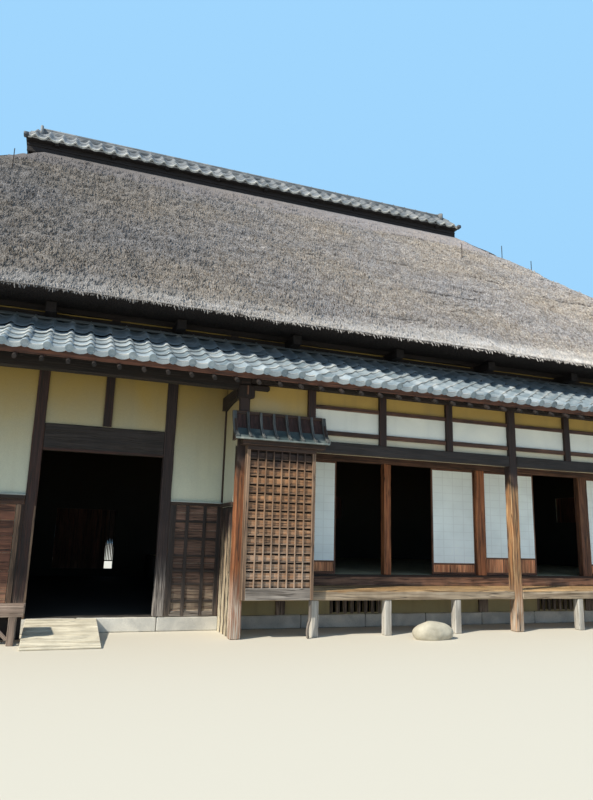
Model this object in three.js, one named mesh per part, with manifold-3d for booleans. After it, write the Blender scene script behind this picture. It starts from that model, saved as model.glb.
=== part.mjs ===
// Minka farmhouse: a hipped thatch roof over a tiled pent roof, an earth-floored entrance
// hall on the left and rooms behind an open veranda on the right. The front faces -Y.
// Units are millimetres. The origin is on the ground, below the middle of the ridge.
import * as THREE from "three";
import { mergeVertices } from "three/addons/utils/BufferGeometryUtils.js";
import Module from "manifold-3d";

const wasm = await Module();
wasm.setup();

// Driving dimensions of the plan
const KEN = 1818; // the traditional bay
const TOUCH = 0.3; // the gap that touching pieces keep
const BITE = 1; // how far joined shapes run into each other, and cutters run past a face
const LEAF_GAP = 5; // the running gap of a sliding panel
const WALL_Y = 2.5 * KEN; // front faces of the main posts, front and back
const PORCH = KEN / 2; // depth of the strip under the pent roof
const OUTER_Y = WALL_Y + PORCH; // front faces of the outer posts
const OUTER_X = 10100; // outer faces of the end posts
const WALL_X = OUTER_X - PORCH; // outer faces of the end walls
const END_POST = 150;

// Walls
const PLASTER_INSET = 35; // plaster lies this far behind the timber faces
const PLASTER_THICK = 75;
const WALL_INNER = PLASTER_INSET + PLASTER_THICK;
const POST_DEPTH = 130;
const BASE_TOP = 195; // stone base and the floor of the entrance hall
const BASE_INSET = 15;
const WALL_TOP = 4777; // where the main walls meet the thatch
const STUD = 124;
const STUD_TOP = 4717;
const DADO_TOP = 1800;
const DADO_THICK = 25;
const HIDDEN_DADO_INSET = 10;

// Doorway of the entrance hall
const DOOR_X = -4500; // centre line of the left door jamb
const JAMB = 148;
const DOOR_HEAD = 2440;
const LINTEL_TOP = 2815;
const LINTEL_INSET = 8;

// Outer posts, eave beams and the transom over the veranda
const CORNER_X = DOOR_X + 2700; // centre of the post where the veranda starts
const CORNER_POST = 150;
const MAIN_POST = 150;
const MAIN_POST_X = [CORNER_X + 2.5 * KEN, CORNER_X + 5 * KEN];
const RETURN_FACE_X = DOOR_X + 2664;
const RETURN_POST = 125;
const HEAD_BOTTOM = 2555; // beam over the veranda openings
const HEAD_TOP = 2722;
const TRANSOM_TOP = 3440;
const TRANSOM_FACE = 60; // the plaster of the transom lies behind this much timber
const TRANSOM_DEPTH = 130;
const BEAM_BOTTOM = 3373; // eave beam over the entrance
const EAVE_BEAM = 150;
const STRUTS = [[1020, 2183, 3357], [1136, 2272, 3409], [900, 1850]];
const STRUT = 115;
const RAILS = [[2822, 2888], [3205, 3262]];
const RAIL_INSET = 20;

// Veranda and the front of the rooms
const DECK_TOP = 622;
const DECK_THICK = 60;
const EDGE_BEAM_BOTTOM = 488;
const EDGE_BEAM = 155;
const FOOT = 115;
const FOOT_SHIFT = 60; // a foot stands this far beside its strut
const FOOT_INSET = 12;
const SILL_TOP = 790;
const ROOM_FLOOR = { top: SILL_TOP - 10, thick: 60, support: 120 };
const SHOJI_HEAD = 2570;
const ROOM_LINTEL = 120;
const ROOM_POSTS = [[3556, 3700], [5368, 5493], [7148, 7330], [9410, 9610], [11700, 11850]];
const LEAF_THICK = 30;
const LEAF_INSET = 50;
const LEAVES = [[3706, 4530], [6290, 7140], [7338, 8413], [9618, 10700]];
const FIXED_LEAF = [12710, 13570];
const VENTS = [[4489, 5324], [8416, 9251]];
const VENT_BARS = 7;
const VENT_SHARE = 0.55;
const VENT_Z = [BASE_TOP + 25, 430];

// Tiled pent roof
const PENT_SLOPE = 0.5376;
const PENT_EDGE = 626; // overhang of the tiles past the outer posts
const PENT_EDGE_TOP = 3530;
const PENT_LIP = 3453;
const RAFTER_END = 80; // rafters stop this far behind the tile edge
const RAFTER_BOTTOM = 3385;
const PENT_LIMIT = 6000;

// Thatch and ridge
const THATCH_SLOPE = 0.96;
const THATCH_EDGE = 147; // overhang of the thatch past the outer posts
const THATCH_LIP = 4400;
const THATCH_LIMIT = 12000;
const SOFFIT_RUN = 750;
const SOFFIT_RISE = 50;
const RIDGE_HALF = 500; // half width of the flat that carries the ridge box
const RIDGE_ENDS = [-5510, 5120];
const RIDGE_BOX_TOP = 9500;
const CAP = { half: 650, edge: 9560, apex: 9990, past: 50 };
const CAP_COURSE = { half: 110, top: 10170, deep: 300, ends: [-5220, 4890] };

// Shutter box, its roof and its prop
const SHUTTER = { x0: DOOR_X + 2730, x1: DOOR_X + 3745, deep: 120, z0: 505, z1: 2565, inset: 10 };
const SHUTTER_ROOF = { x0: DOOR_X + 2520, x1: DOOR_X + 3920, deep: 250, rise: 490, steps: 7 };
const SHUTTER_SAG = [[0, 60], [180, 160], [238, 490]]; // run and rise of its curve
const LATTICE = { columns: 8, rows: 16, bar: 16, stile: 48, head: 60, bottom: 155, deep: 22 };
const PROP_X = DOOR_X + 3660;
const PROP = [[15, 0], [60, 0], [62, 250], [85, 1], [30, 1], [12, 260]]; // 1 marks its top
const PROP_Y = [30, 80];

// What stands at the front
const BENCH = { x0: DOOR_X - 1720, x1: DOOR_X + 95, y0: -OUTER_Y - 20, y1: -OUTER_Y + 360, top: 450 };
const BENCH_SEAT = 45;
const BENCH_APRON = { bottom: 130, thick: 40, inset: 10, ends: [40, 5] };
const BENCH_LEG = { width: 80, depth: 60, inset: 5, from: [80, 160] };
const BENCH_BRACE = { foot: [[0, 90], [30, 60]], head: [300, 250], drop: 100, y: [15, 45], from: 150 };
const RAMP = { x0: DOOR_X + 92, x1: DOOR_X + 990, front: 375, lip: 25, drop: 5 };
const STEP_STONE = { x: DOOR_X + 5440, y: -OUTER_Y - 380, z: 95, radii: [330, 180, 190] };

// Openings of the plain sides
const WINDOW = { half: 780, z0: 1950, z1: 2620, thick: 40, inset: 5 };
const BACK_WINDOW = [2400, 4100];
const BACK_DOOR = { x0: DOOR_X + 330, leaf: DOOR_X + 1650, x1: DOOR_X + 1860, z0: 400, z1: 1950 };
const BACK_LEAF = { thick: 45, inset: 12 };
const BACK_BAYS = 10;

// Colours and finish of each material
const finish = (color, roughness) => new THREE.MeshStandardMaterial({ color, roughness, metalness: 0 });
const MATERIALS = {
  stone: finish(0x9a9c98, 0.9),
  plaster: finish(0x9c8f66, 0.95),
  dark_timber: finish(0x2b2320, 0.75),
  red_timber: finish(0x8a5331, 0.7),
  grey_timber: finish(0x9a8f82, 0.85),
  boards: finish(0x6b4a38, 0.8),
  floor_boards: finish(0x9c7444, 0.6),
  paper: finish(0xc4d2d8, 0.9),
  tiles: finish(0x7d8b94, 0.5),
  thatch: finish(0x8d8881, 1.0),
  ridge_timber: finish(0x241f24, 0.8),
};

const group = new THREE.Group();

// Adds a geometry as one named mesh with one of the materials above.
function piece(name, geometry, material) {
  const mesh = new THREE.Mesh(geometry, MATERIALS[material]);
  mesh.name = name;
  group.add(mesh);
}

function block(x0, x1, y0, y1, z0, z1) {
  const box = new THREE.BoxGeometry(x1 - x0, y1 - y0, z1 - z0);
  return box.translate((x0 + x1) / 2, (y0 + y1) / 2, (z0 + z1) / 2);
}

function drawnOut(points, depth) {
  const shape = new THREE.Shape(points.map(([a, b]) => new THREE.Vector2(a, b)));
  return new THREE.ExtrudeGeometry(shape, { depth, bevelEnabled: false });
}

// An outline of [y, z] points drawn out along X.
function alongX(points, x0, x1) {
  const turn = new THREE.Matrix4().set(0, 0, 1, x0, 1, 0, 0, 0, 0, 1, 0, 0, 0, 0, 0, 1);
  return drawnOut(points, x1 - x0).applyMatrix4(turn);
}

// An outline of [x, z] points drawn out along Y.
function alongY(points, y0, y1) {
  const turn = new THREE.Matrix4().set(1, 0, 0, 0, 0, 0, -1, y1, 0, 1, 0, 0, 0, 0, 0, 1);
  return drawnOut(points, y1 - y0).applyMatrix4(turn);
}

// A plan outline of [x, y] points raised from z0 to z1.
function upright(points, z0, z1) {
  return drawnOut(points, z1 - z0).translate(0, 0, z0);
}

function solid(geometry) {
  const bare = geometry.clone();
  bare.deleteAttribute("normal");
  bare.deleteAttribute("uv");
  const merged = mergeVertices(bare, 1e-3);
  return new wasm.Manifold(new wasm.Mesh({
    numProp: 3,
    vertProperties: new Float32Array(merged.attributes.position.array),
    triVerts: new Uint32Array(merged.index.array),
  }));
}

function shell(manifold) {
  const mesh = manifold.getMesh();
  const geometry = new THREE.BufferGeometry();
  geometry.setAttribute("position", new THREE.BufferAttribute(new Float32Array(mesh.vertProperties), 3));
  geometry.setIndex(new THREE.BufferAttribute(new Uint32Array(mesh.triVerts), 1));
  geometry.computeVertexNormals();
  return geometry;
}

function joined(geometries) {
  return shell(geometries.map(solid).reduce((whole, next) => whole.add(next)));
}

function without(geometry, cutters) {
  return shell(cutters.map(solid).reduce((rest, cutter) => rest.subtract(cutter), solid(geometry)));
}

const between = (centre, width) => [centre - width / 2, centre + width / 2];
const doorX = (offset) => DOOR_X + offset;
const leftJamb = between(DOOR_X, JAMB);
const rightJamb = between(doorX(KEN), JAMB);
const rafterZ = (y) => RAFTER_BOTTOM + PENT_SLOPE * (y + OUTER_Y + PENT_EDGE - RAFTER_END);

// Stone base, entrance floor and the raised floor of the rooms
function floors() {
  const faceX = WALL_X - BASE_INSET;
  const faceY = WALL_Y - BASE_INSET;
  const slab = block(-faceX, faceX, -faceY, faceY, 0, BASE_TOP);
  const notches = [leftJamb, rightJamb].map(([x0, x1]) =>
    block(x0 - TOUCH, x1 + TOUCH, -WALL_Y - BITE, -WALL_Y + JAMB + TOUCH, -BITE, BASE_TOP + BITE));
  piece("foundation", without(slab, notches), "stone");
  const left = RETURN_FACE_X + ROOM_FLOOR.support / 2;
  const right = WALL_X - WALL_INNER - TOUCH;
  const front = -WALL_Y + POST_DEPTH + TOUCH;
  const back = WALL_Y - WALL_INNER - TOUCH;
  const bottom = ROOM_FLOOR.top - ROOM_FLOOR.thick;
  const floor = block(left, right, front, back, bottom, ROOM_FLOOR.top);
  const support = block(left, left + ROOM_FLOOR.support, front, back, BASE_TOP + TOUCH, bottom + BITE);
  piece("room_floor", joined([floor, support]), "floor_boards");
}

// Entrance front: plaster over boarded dados, with the doorway between two jambs
function entrance() {
  const plasterY = [-WALL_Y + PLASTER_INSET, -WALL_Y + WALL_INNER];
  const boardY = [plasterY[0] - TOUCH - DADO_THICK, plasterY[0] - TOUCH];
  const bottom = BASE_TOP + TOUCH;
  const leftSide = [-WALL_X + WALL_INNER + TOUCH, leftJamb[0] - TOUCH];
  const rightSide = [rightJamb[1] + TOUCH, RETURN_FACE_X - TOUCH];
  const overDoor = [leftJamb[1] + TOUCH, rightJamb[0] - TOUCH];
  const stud = (x, z0) => block(...between(x, STUD), -WALL_Y, plasterY[0] + BITE, z0, STUD_TOP);
  const studs = [doorX(-KEN), doorX(-2 * KEN), leftSide[0] + STUD / 2].map((x) => stud(x, DADO_TOP + TOUCH));
  const leftWall = block(...leftSide, ...plasterY, bottom, WALL_TOP);
  piece("doma_wall_left", joined([leftWall, ...studs]), "plaster");
  piece("doma_wall_right", block(...rightSide, ...plasterY, bottom, WALL_TOP), "plaster");
  const over = block(...overDoor, ...plasterY, LINTEL_TOP + TOUCH, WALL_TOP);
  piece("doma_wall_over_door", joined([over, stud(doorX(KEN / 2), LINTEL_TOP + TOUCH)]), "plaster");
  const jamb = (span) => block(...span, -WALL_Y, -WALL_Y + JAMB, 0, STUD_TOP);
  piece("door_jamb_left", jamb(leftJamb), "dark_timber");
  piece("door_jamb_right", jamb(rightJamb), "dark_timber");
  piece("door_lintel",
    block(...overDoor, -WALL_Y + LINTEL_INSET, -WALL_Y + POST_DEPTH, DOOR_HEAD, LINTEL_TOP), "dark_timber");
  piece("wainscot_left", block(...leftSide, ...boardY, bottom, DADO_TOP), "boards");
  piece("wainscot_right", block(...rightSide, ...boardY, bottom, DADO_TOP), "boards");
}

// Wall between the recessed entrance and the corner post of the veranda
function returnWall() {
  const front = -OUTER_Y + CORNER_POST + TOUCH;
  const top = (y) => Math.min(rafterZ(y), rafterZ(-WALL_Y)) - TOUCH;
  const faces = [RETURN_FACE_X, RETURN_FACE_X + PLASTER_THICK];
  const neckY = between(-WALL_Y, 2 * LEAF_GAP);
  const wall = alongX([[front, 0], [-WALL_Y, 0], [-WALL_Y, top(-WALL_Y)], [front, top(front)]], ...faces);
  const innerPost = block(RETURN_FACE_X, RETURN_FACE_X + RETURN_POST, -WALL_Y, -WALL_Y + POST_DEPTH,
    BASE_TOP + TOUCH, STUD_TOP);
  const neck = block(...faces, ...neckY, BASE_TOP + TOUCH, top(neckY[0]));
  piece("return_wall", joined([wall, neck, innerPost]), "plaster");
}

// Outer posts, and the eave beams that they carry on all four sides
function outerFrame() {
  const front = -OUTER_Y;
  const facing = [front, front + TRANSOM_FACE];
  const underBeam = BEAM_BOTTOM - TOUCH;
  const post = (x0, x1, top) => joined([
    block(x0, x1, front, front + x1 - x0, 0, HEAD_BOTTOM),
    block(x0, x1, ...facing, HEAD_BOTTOM - BITE, top),
  ]);
  const corner = between(CORNER_X, CORNER_POST);
  piece("corner_post", post(...corner, underBeam), "red_timber");
  MAIN_POST_X.forEach((x, index) =>
    piece(`main_post_${index + 1}`, post(...between(x, MAIN_POST), TRANSOM_TOP - TOUCH), "red_timber"));
  piece("end_post_right", post(OUTER_X - END_POST, OUTER_X, TRANSOM_TOP - TOUCH), "dark_timber");
  piece("end_post_left",
    block(-OUTER_X, -OUTER_X + END_POST, front, front + END_POST, 0, underBeam), "dark_timber");

  const beamTop = rafterZ(front) - TOUCH;
  const beamY = [front, front + EAVE_BEAM];
  const beam = block(-OUTER_X, OUTER_X, ...beamY, TRANSOM_TOP, beamTop);
  const deeper = block(-OUTER_X, corner[1], ...beamY, BEAM_BOTTOM, TRANSOM_TOP + BITE);
  const seat = block(corner[0], corner[1] + BITE, facing[1], beamY[1] + BITE, BEAM_BOTTOM - BITE,
    TRANSOM_TOP - TOUCH);
  piece("eave_beam_front", without(joined([beam, deeper]), [seat]), "dark_timber");

  const backY = [OUTER_Y - EAVE_BEAM, OUTER_Y];
  const sides = [-OUTER_X, OUTER_X - EAVE_BEAM].flatMap((x) => [
    block(x, x + EAVE_BEAM, beamY[1] + TOUCH, OUTER_Y, TRANSOM_TOP, beamTop),
    block(x, x + EAVE_BEAM, ...backY, 0, TRANSOM_TOP + BITE),
  ]);
  const backBeam = block(-OUTER_X, OUTER_X, ...backY, TRANSOM_TOP, beamTop);
  piece("eave_frame", joined([...sides, backBeam]), "dark_timber");
}

// The transom is one plaster wall behind the beam, rails and struts that face it.
function transom() {
  const front = -OUTER_Y;
  const face = front + TRANSOM_FACE;
  const top = TRANSOM_TOP - TOUCH;
  const wall = block(CORNER_X - CORNER_POST / 2, OUTER_X, face + TOUCH, front + TRANSOM_DEPTH,
    HEAD_BOTTOM + TOUCH, top);
  const posts = [CORNER_X, ...MAIN_POST_X, OUTER_X - END_POST / 2];
  const widths = [CORNER_POST, MAIN_POST, MAIN_POST, END_POST];
  const bays = STRUTS.map((struts, index) => {
    const from = posts[index] + widths[index] / 2 + TOUCH;
    const to = posts[index + 1] - widths[index + 1] / 2 - TOUCH;
    const head = block(from, to, front, face + BITE, HEAD_BOTTOM, HEAD_TOP);
    const rails = RAILS.map((span) => block(from, to, front + RAIL_INSET, face + BITE, ...span));
    const uprights = struts.map((offset) =>
      block(...between(posts[index] + offset, STRUT), front, face + BITE, HEAD_TOP - BITE, top));
    return [head, ...rails, ...uprights];
  });
  piece("transom_wall", joined([wall, ...bays.flat()]), "plaster");
}

// Veranda: boarded deck with its edge beam and feet
function veranda() {
  const front = -OUTER_Y;
  const left = CORNER_X + CORNER_POST / 2 + TOUCH;
  const right = OUTER_X - END_POST - TOUCH;
  const boards = block(left, right, front + EDGE_BEAM, -WALL_Y - TOUCH, DECK_TOP - DECK_THICK, DECK_TOP);
  const edge = block(left, right, front, front + EDGE_BEAM + BITE, EDGE_BEAM_BOTTOM, DECK_TOP);
  const posts = [CORNER_X, ...MAIN_POST_X];
  const footY = [front + FOOT_INSET, front + FOOT_INSET + FOOT];
  const feet = STRUTS.flatMap((struts, index) => struts.map((offset) =>
    block(...between(posts[index] + offset + FOOT_SHIFT, FOOT), ...footY, 0, EDGE_BEAM_BOTTOM + BITE)));
  const notches = MAIN_POST_X.map((x) => block(...between(x, MAIN_POST + 2 * TOUCH), front - BITE,
    front + MAIN_POST + TOUCH, 0, DECK_TOP + BITE));
  piece("veranda_deck", without(joined([boards, edge, ...feet]), notches), "floor_boards");
}

// Room front behind the veranda: sill, posts, lintel, plaster bands and paper panels
function roomFront() {
  const depth = [-WALL_Y, -WALL_Y + POST_DEPTH];
  const plaster = [-WALL_Y + PLASTER_INSET, -WALL_Y + WALL_INNER];
  const leafY = [-WALL_Y + LEAF_INSET, -WALL_Y + LEAF_INSET + LEAF_THICK];
  const span = [RETURN_FACE_X + RETURN_POST + TOUCH, WALL_X - WALL_INNER - TOUCH];
  const lintelTop = SHOJI_HEAD + ROOM_LINTEL;
  piece("room_sill", block(...span, ...depth, DECK_TOP, SILL_TOP), "dark_timber");
  piece("room_lintel", block(...span, ...depth, SHOJI_HEAD, lintelTop), "red_timber");
  const studs = ROOM_POSTS.map(([a, b]) =>
    block(doorX(a), doorX(b), depth[0], plaster[0] + BITE, lintelTop + TOUCH, STUD_TOP));
  const upper = block(...span, ...plaster, lintelTop + TOUCH, WALL_TOP);
  piece("room_wall_upper", joined([upper, ...studs]), "plaster");
  const lower = block(...span, ...plaster, BASE_TOP + TOUCH, DECK_TOP - TOUCH);
  const slots = VENTS.flatMap(([a, b]) => {
    const pitch = (b - a) / VENT_BARS;
    return Array.from({ length: VENT_BARS }, (_, index) => {
      const from = doorX(a) + index * pitch;
      return block(from, from + pitch * VENT_SHARE, plaster[0] - BITE, plaster[1] + BITE, ...VENT_Z);
    });
  });
  piece("room_wall_lower", without(lower, slots), "plaster");
  ROOM_POSTS.forEach(([a, b], index) => piece(`room_post_${index + 1}`,
    block(doorX(a), doorX(b), ...depth, SILL_TOP + TOUCH, SHOJI_HEAD - TOUCH), "red_timber"));
  LEAVES.forEach(([a, b], index) => piece(`shoji_${index + 1}`,
    block(doorX(a), doorX(b), ...leafY, SILL_TOP + LEAF_GAP, SHOJI_HEAD - LEAF_GAP), "paper"));
  piece(`shoji_${LEAVES.length + 1}`,
    block(...FIXED_LEAF.map(doorX), ...leafY, SILL_TOP + TOUCH, SHOJI_HEAD - TOUCH), "paper");
}

// Shutter box at the start of the veranda, with its little roof and crooked prop
function shutterBox() {
  const { x0, x1, z0, z1 } = SHUTTER;
  const back = -OUTER_Y - TOUCH;
  const front = -OUTER_Y - SHUTTER.deep;
  const inner = {
    x0: x0 + LATTICE.stile,
    x1: x1 - LATTICE.stile,
    z0: z0 + LATTICE.bottom,
    z1: z1 - LATTICE.head,
  };
  const body = block(x0 + SHUTTER.inset, x1 - SHUTTER.inset, front + LATTICE.deep - BITE, back,
    z0 + SHUTTER.inset, z1);
  const frame = [
    block(x0, inner.x0, front, back, z0, z1),
    block(inner.x1, x1, front, back, z0, z1),
    block(x0, x1, front, back, z0, inner.z0),
    block(x0, x1, front, back, inner.z1, z1),
  ];
  const barY = [front + 2 * BITE, front + LATTICE.deep];
  const at = (low, high, index, count) => between(low + (high - low) * index / count, LATTICE.bar);
  for (let column = 1; column < LATTICE.columns; column += 1) {
    frame.push(block(...at(inner.x0, inner.x1, column, LATTICE.columns), ...barY,
      inner.z0 - BITE, inner.z1 + BITE));
  }
  for (let row = 1; row < LATTICE.rows; row += 1) {
    frame.push(block(inner.x0 - BITE, inner.x1 + BITE, barY[0] + 2 * BITE, barY[1],
      ...at(inner.z0, inner.z1, row, LATTICE.rows)));
  }
  piece("shutter_box", joined([body, ...frame]), "grey_timber");

  const eave = -OUTER_Y - SHUTTER_ROOF.deep;
  const sag = SHUTTER_SAG.map(([run, rise]) => new THREE.Vector2(eave + run, z1 + rise));
  const curve = new THREE.QuadraticBezierCurve(...sag).getPoints(SHUTTER_ROOF.steps);
  const roofLine = [[back, z1 + SHUTTER_ROOF.rise], ...curve.map(({ x, y }) => [x, y]).reverse(),
    [eave, z1 + TOUCH], [back, z1 + TOUCH]];
  piece("shutter_box_roof", alongX(roofLine, SHUTTER_ROOF.x0, SHUTTER_ROOF.x1), "tiles");

  const propLine = PROP.map(([x, z]) => [PROP_X + x, z === 1 ? z0 - TOUCH : z]);
  piece("prop_post", alongY(propLine, front + PROP_Y[0], front + PROP_Y[1]), "grey_timber");
}

// Bench, ramp and stepping stone that stand at the front
function accessories() {
  const { x0, x1, y0, y1, top } = BENCH;
  const under = top - BENCH_SEAT + BITE;
  const apronX = [x0 + BENCH_APRON.ends[0], x1 - BENCH_APRON.ends[1]];
  const apron = (y) => block(...apronX, y, y + BENCH_APRON.thick, top - BENCH_APRON.bottom, under);
  const legX = [x0 + BENCH_LEG.from[0], x1 - BENCH_LEG.from[1]];
  const legY = [y0 + BENCH_LEG.inset, y1 - BENCH_LEG.depth - BENCH_LEG.inset];
  const legs = legX.flatMap((x) => legY.map((y) =>
    block(x, x + BENCH_LEG.width, y, y + BENCH_LEG.depth, 0, under)));
  const brace = (x, run) => {
    const line = [...BENCH_BRACE.foot, ...BENCH_BRACE.head.map((length) => [length, top - BENCH_BRACE.drop])];
    const points = line.map(([length, z]) => [x + run * length, z]);
    return alongY(run > 0 ? points : points.reverse(), y0 + BENCH_BRACE.y[0], y0 + BENCH_BRACE.y[1]);
  };
  piece("bench", joined([
    block(x0, x1, y0, y1, top - BENCH_SEAT, top),
    apron(y0 + BENCH_APRON.inset),
    apron(y1 - BENCH_APRON.inset - BENCH_APRON.thick),
    ...legs,
    brace(x1 - BENCH_BRACE.from, -1),
    brace(x0 + BENCH_BRACE.from, 1),
  ]), "boards");

  const rampEnds = [-OUTER_Y - RAMP.front, -WALL_Y + BASE_INSET - TOUCH];
  piece("ramp", alongX([[rampEnds[0], 0], [rampEnds[1], 0], [rampEnds[1], BASE_TOP - RAMP.drop],
    [rampEnds[0], RAMP.lip]], RAMP.x0, RAMP.x1), "grey_timber");

  const { x, y, z, radii } = STEP_STONE;
  const ball = new THREE.SphereGeometry(1, 20, 12).rotateX(Math.PI / 2).scale(...radii).translate(x, y, z);
  const below = block(...between(x, 4 * radii[0]), ...between(y, 4 * radii[1]), -2 * radii[2], 0);
  piece("step_stone", without(ball, [below]), "stone");
}

// The end walls and the back wall: plaster with proud studs over a boarded dado
function hiddenWalls() {
  const bottom = BASE_TOP + TOUCH;
  const plaster = WALL_X - PLASTER_INSET;
  const sideSpan = WALL_Y - PLASTER_INSET;
  const sideEnd = sideSpan - STUD / 2;
  const sideStuds = [-sideEnd, -1.5 * KEN, -0.5 * KEN, 0.5 * KEN, 1.5 * KEN, sideEnd];
  for (const [name, side] of [["left", -1], ["right", 1]]) {
    const xs = (a, b) => [side * a, side * b].sort((p, q) => p - q);
    const wall = block(...xs(WALL_X - WALL_INNER, plaster), -sideSpan, sideSpan, bottom, WALL_TOP);
    const studs = sideStuds.map((y) =>
      block(...xs(plaster - BITE, WALL_X), ...between(y, STUD), bottom, STUD_TOP));
    const dado = block(...xs(plaster - BITE, WALL_X - HIDDEN_DADO_INSET), -sideSpan, sideSpan,
      bottom, DADO_TOP);
    const hole = block(...xs(WALL_X - 2 * WALL_INNER, WALL_X + BITE), -WINDOW.half, WINDOW.half,
      WINDOW.z0, WINDOW.z1);
    piece(`${name}_wall`, without(joined([wall, dado, ...studs]), [hole]), "plaster");
    piece(`${name}_window`, block(...xs(plaster - WINDOW.thick, WALL_X - WINDOW.inset), -WINDOW.half + TOUCH,
      WINDOW.half - TOUCH, WINDOW.z0 + TOUCH, WINDOW.z1 - TOUCH), "boards");
  }

  const ends = WALL_X - WALL_INNER - TOUCH;
  const face = WALL_Y - PLASTER_INSET;
  const wall = block(-ends, ends, WALL_Y - WALL_INNER, face, bottom, WALL_TOP);
  const first = -ends + STUD / 2;
  const studs = Array.from({ length: BACK_BAYS + 1 }, (_, index) =>
    block(...between(first - 2 * first * index / BACK_BAYS, STUD), face - BITE, WALL_Y, bottom, STUD_TOP));
  const dado = block(-ends, ends, face - BITE, WALL_Y - HIDDEN_DADO_INSET, bottom, DADO_TOP);
  const cut = [WALL_Y - 2 * WALL_INNER, WALL_Y + BITE];
  const doorHole = block(BACK_DOOR.x0, BACK_DOOR.x1, ...cut, BACK_DOOR.z0, BACK_DOOR.z1);
  const windowHole = block(...BACK_WINDOW, ...cut, WINDOW.z0, WINDOW.z1);
  piece("back_wall", without(joined([wall, dado, ...studs]), [doorHole, windowHole]), "plaster");
  piece("back_door", block(BACK_DOOR.x0 + TOUCH, BACK_DOOR.leaf, face - BACK_LEAF.thick,
    WALL_Y - BACK_LEAF.inset, BACK_DOOR.z0 + TOUCH, BACK_DOOR.z1 - TOUCH), "boards");
  piece("back_window", block(BACK_WINDOW[0] + TOUCH, BACK_WINDOW[1] - TOUCH, face - WINDOW.thick,
    WALL_Y - WINDOW.inset, WINDOW.z0 + TOUCH, WINDOW.z1 - TOUCH), "boards");
}

// Four mitred slopes: each is one cross section, cut to its share of the plan.
function slopes(prefix, { edgeX, edgeY, run, section, limit, material }) {
  const insideX = edgeX - run;
  const insideY = edgeY - run;
  const half = TOUCH / 2;
  const front = solid(alongX(section(edgeY), -edgeX, edgeX)).intersect(solid(upright([
    [-edgeX + TOUCH, -edgeY],
    [edgeX - TOUCH, -edgeY],
    [insideX - half, -insideY - half],
    [-insideX + half, -insideY - half],
  ], 0, limit)));
  const left = solid(alongY(section(edgeX), -edgeY, edgeY)).intersect(solid(upright([
    [-edgeX, edgeY - TOUCH],
    [-edgeX, -edgeY + TOUCH],
    [-insideX - half, -insideY + half],
    [-insideX - half, insideY - half],
  ], 0, limit)));
  piece(`${prefix}_front`, shell(front), material);
  piece(`${prefix}_back`, shell(front).rotateZ(Math.PI), material);
  piece(`${prefix}_left`, shell(left), material);
  piece(`${prefix}_right`, shell(left).rotateZ(Math.PI), material);
}

function pentRoof() {
  const run = PORCH + PENT_EDGE - TOUCH;
  const section = (edge) => [
    [-edge, PENT_LIP],
    [-edge + RAFTER_END, RAFTER_BOTTOM],
    [-edge + run, RAFTER_BOTTOM + PENT_SLOPE * (run - RAFTER_END)],
    [-edge + run, PENT_EDGE_TOP + PENT_SLOPE * run],
    [-edge, PENT_EDGE_TOP],
  ];
  slopes("pent_roof", { edgeX: OUTER_X + PENT_EDGE, edgeY: OUTER_Y + PENT_EDGE, run, section,
    limit: PENT_LIMIT, material: "tiles" });
}

function thatch() {
  const edge = OUTER_Y + THATCH_EDGE;
  const run = edge - TOUCH;
  const flatTop = THATCH_LIP + THATCH_SLOPE * (run - RIDGE_HALF);
  const innerTop = THATCH_LIP + SOFFIT_RISE + THATCH_SLOPE * (run - SOFFIT_RUN);
  const section = (from) => [
    [-from, THATCH_LIP],
    [-from + SOFFIT_RUN, THATCH_LIP + SOFFIT_RISE],
    [-from + run, innerTop],
    [-from + run, flatTop],
    [-from + run - RIDGE_HALF, flatTop],
  ];
  slopes("thatch", { edgeX: OUTER_X + THATCH_EDGE, edgeY: edge, run, section, limit: THATCH_LIMIT,
    material: "thatch" });
  piece("ridge_box", block(...RIDGE_ENDS, -RIDGE_HALF, RIDGE_HALF, flatTop + TOUCH, RIDGE_BOX_TOP),
    "ridge_timber");
  const gable = alongX([[-CAP.half, RIDGE_BOX_TOP + TOUCH], [CAP.half, RIDGE_BOX_TOP + TOUCH],
    [CAP.half, CAP.edge], [0, CAP.apex], [-CAP.half, CAP.edge]],
  RIDGE_ENDS[0] - CAP.past, RIDGE_ENDS[1] + CAP.past);
  const course = block(...CAP_COURSE.ends, -CAP_COURSE.half, CAP_COURSE.half,
    CAP_COURSE.top - CAP_COURSE.deep, CAP_COURSE.top);
  piece("ridge_cap", joined([gable, course]), "tiles");
}

floors();
entrance();
returnWall();
outerFrame();
transom();
veranda();
roomFront();
shutterBox();
accessories();
hiddenWalls();
pentRoof();
thatch();

export default group;
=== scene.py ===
"""Looks of the minka farmhouse: thatch, tiles, weathered timber, plaster and paper panels.

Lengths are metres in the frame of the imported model. The front faces -Y and the ground is at 0.
"""

import logging
import math
import random
from collections.abc import Callable, Iterable, Sequence
from dataclasses import dataclass
from enum import Enum

import bmesh
import bpy
import numpy as np
from mathutils import Matrix, Vector


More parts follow.
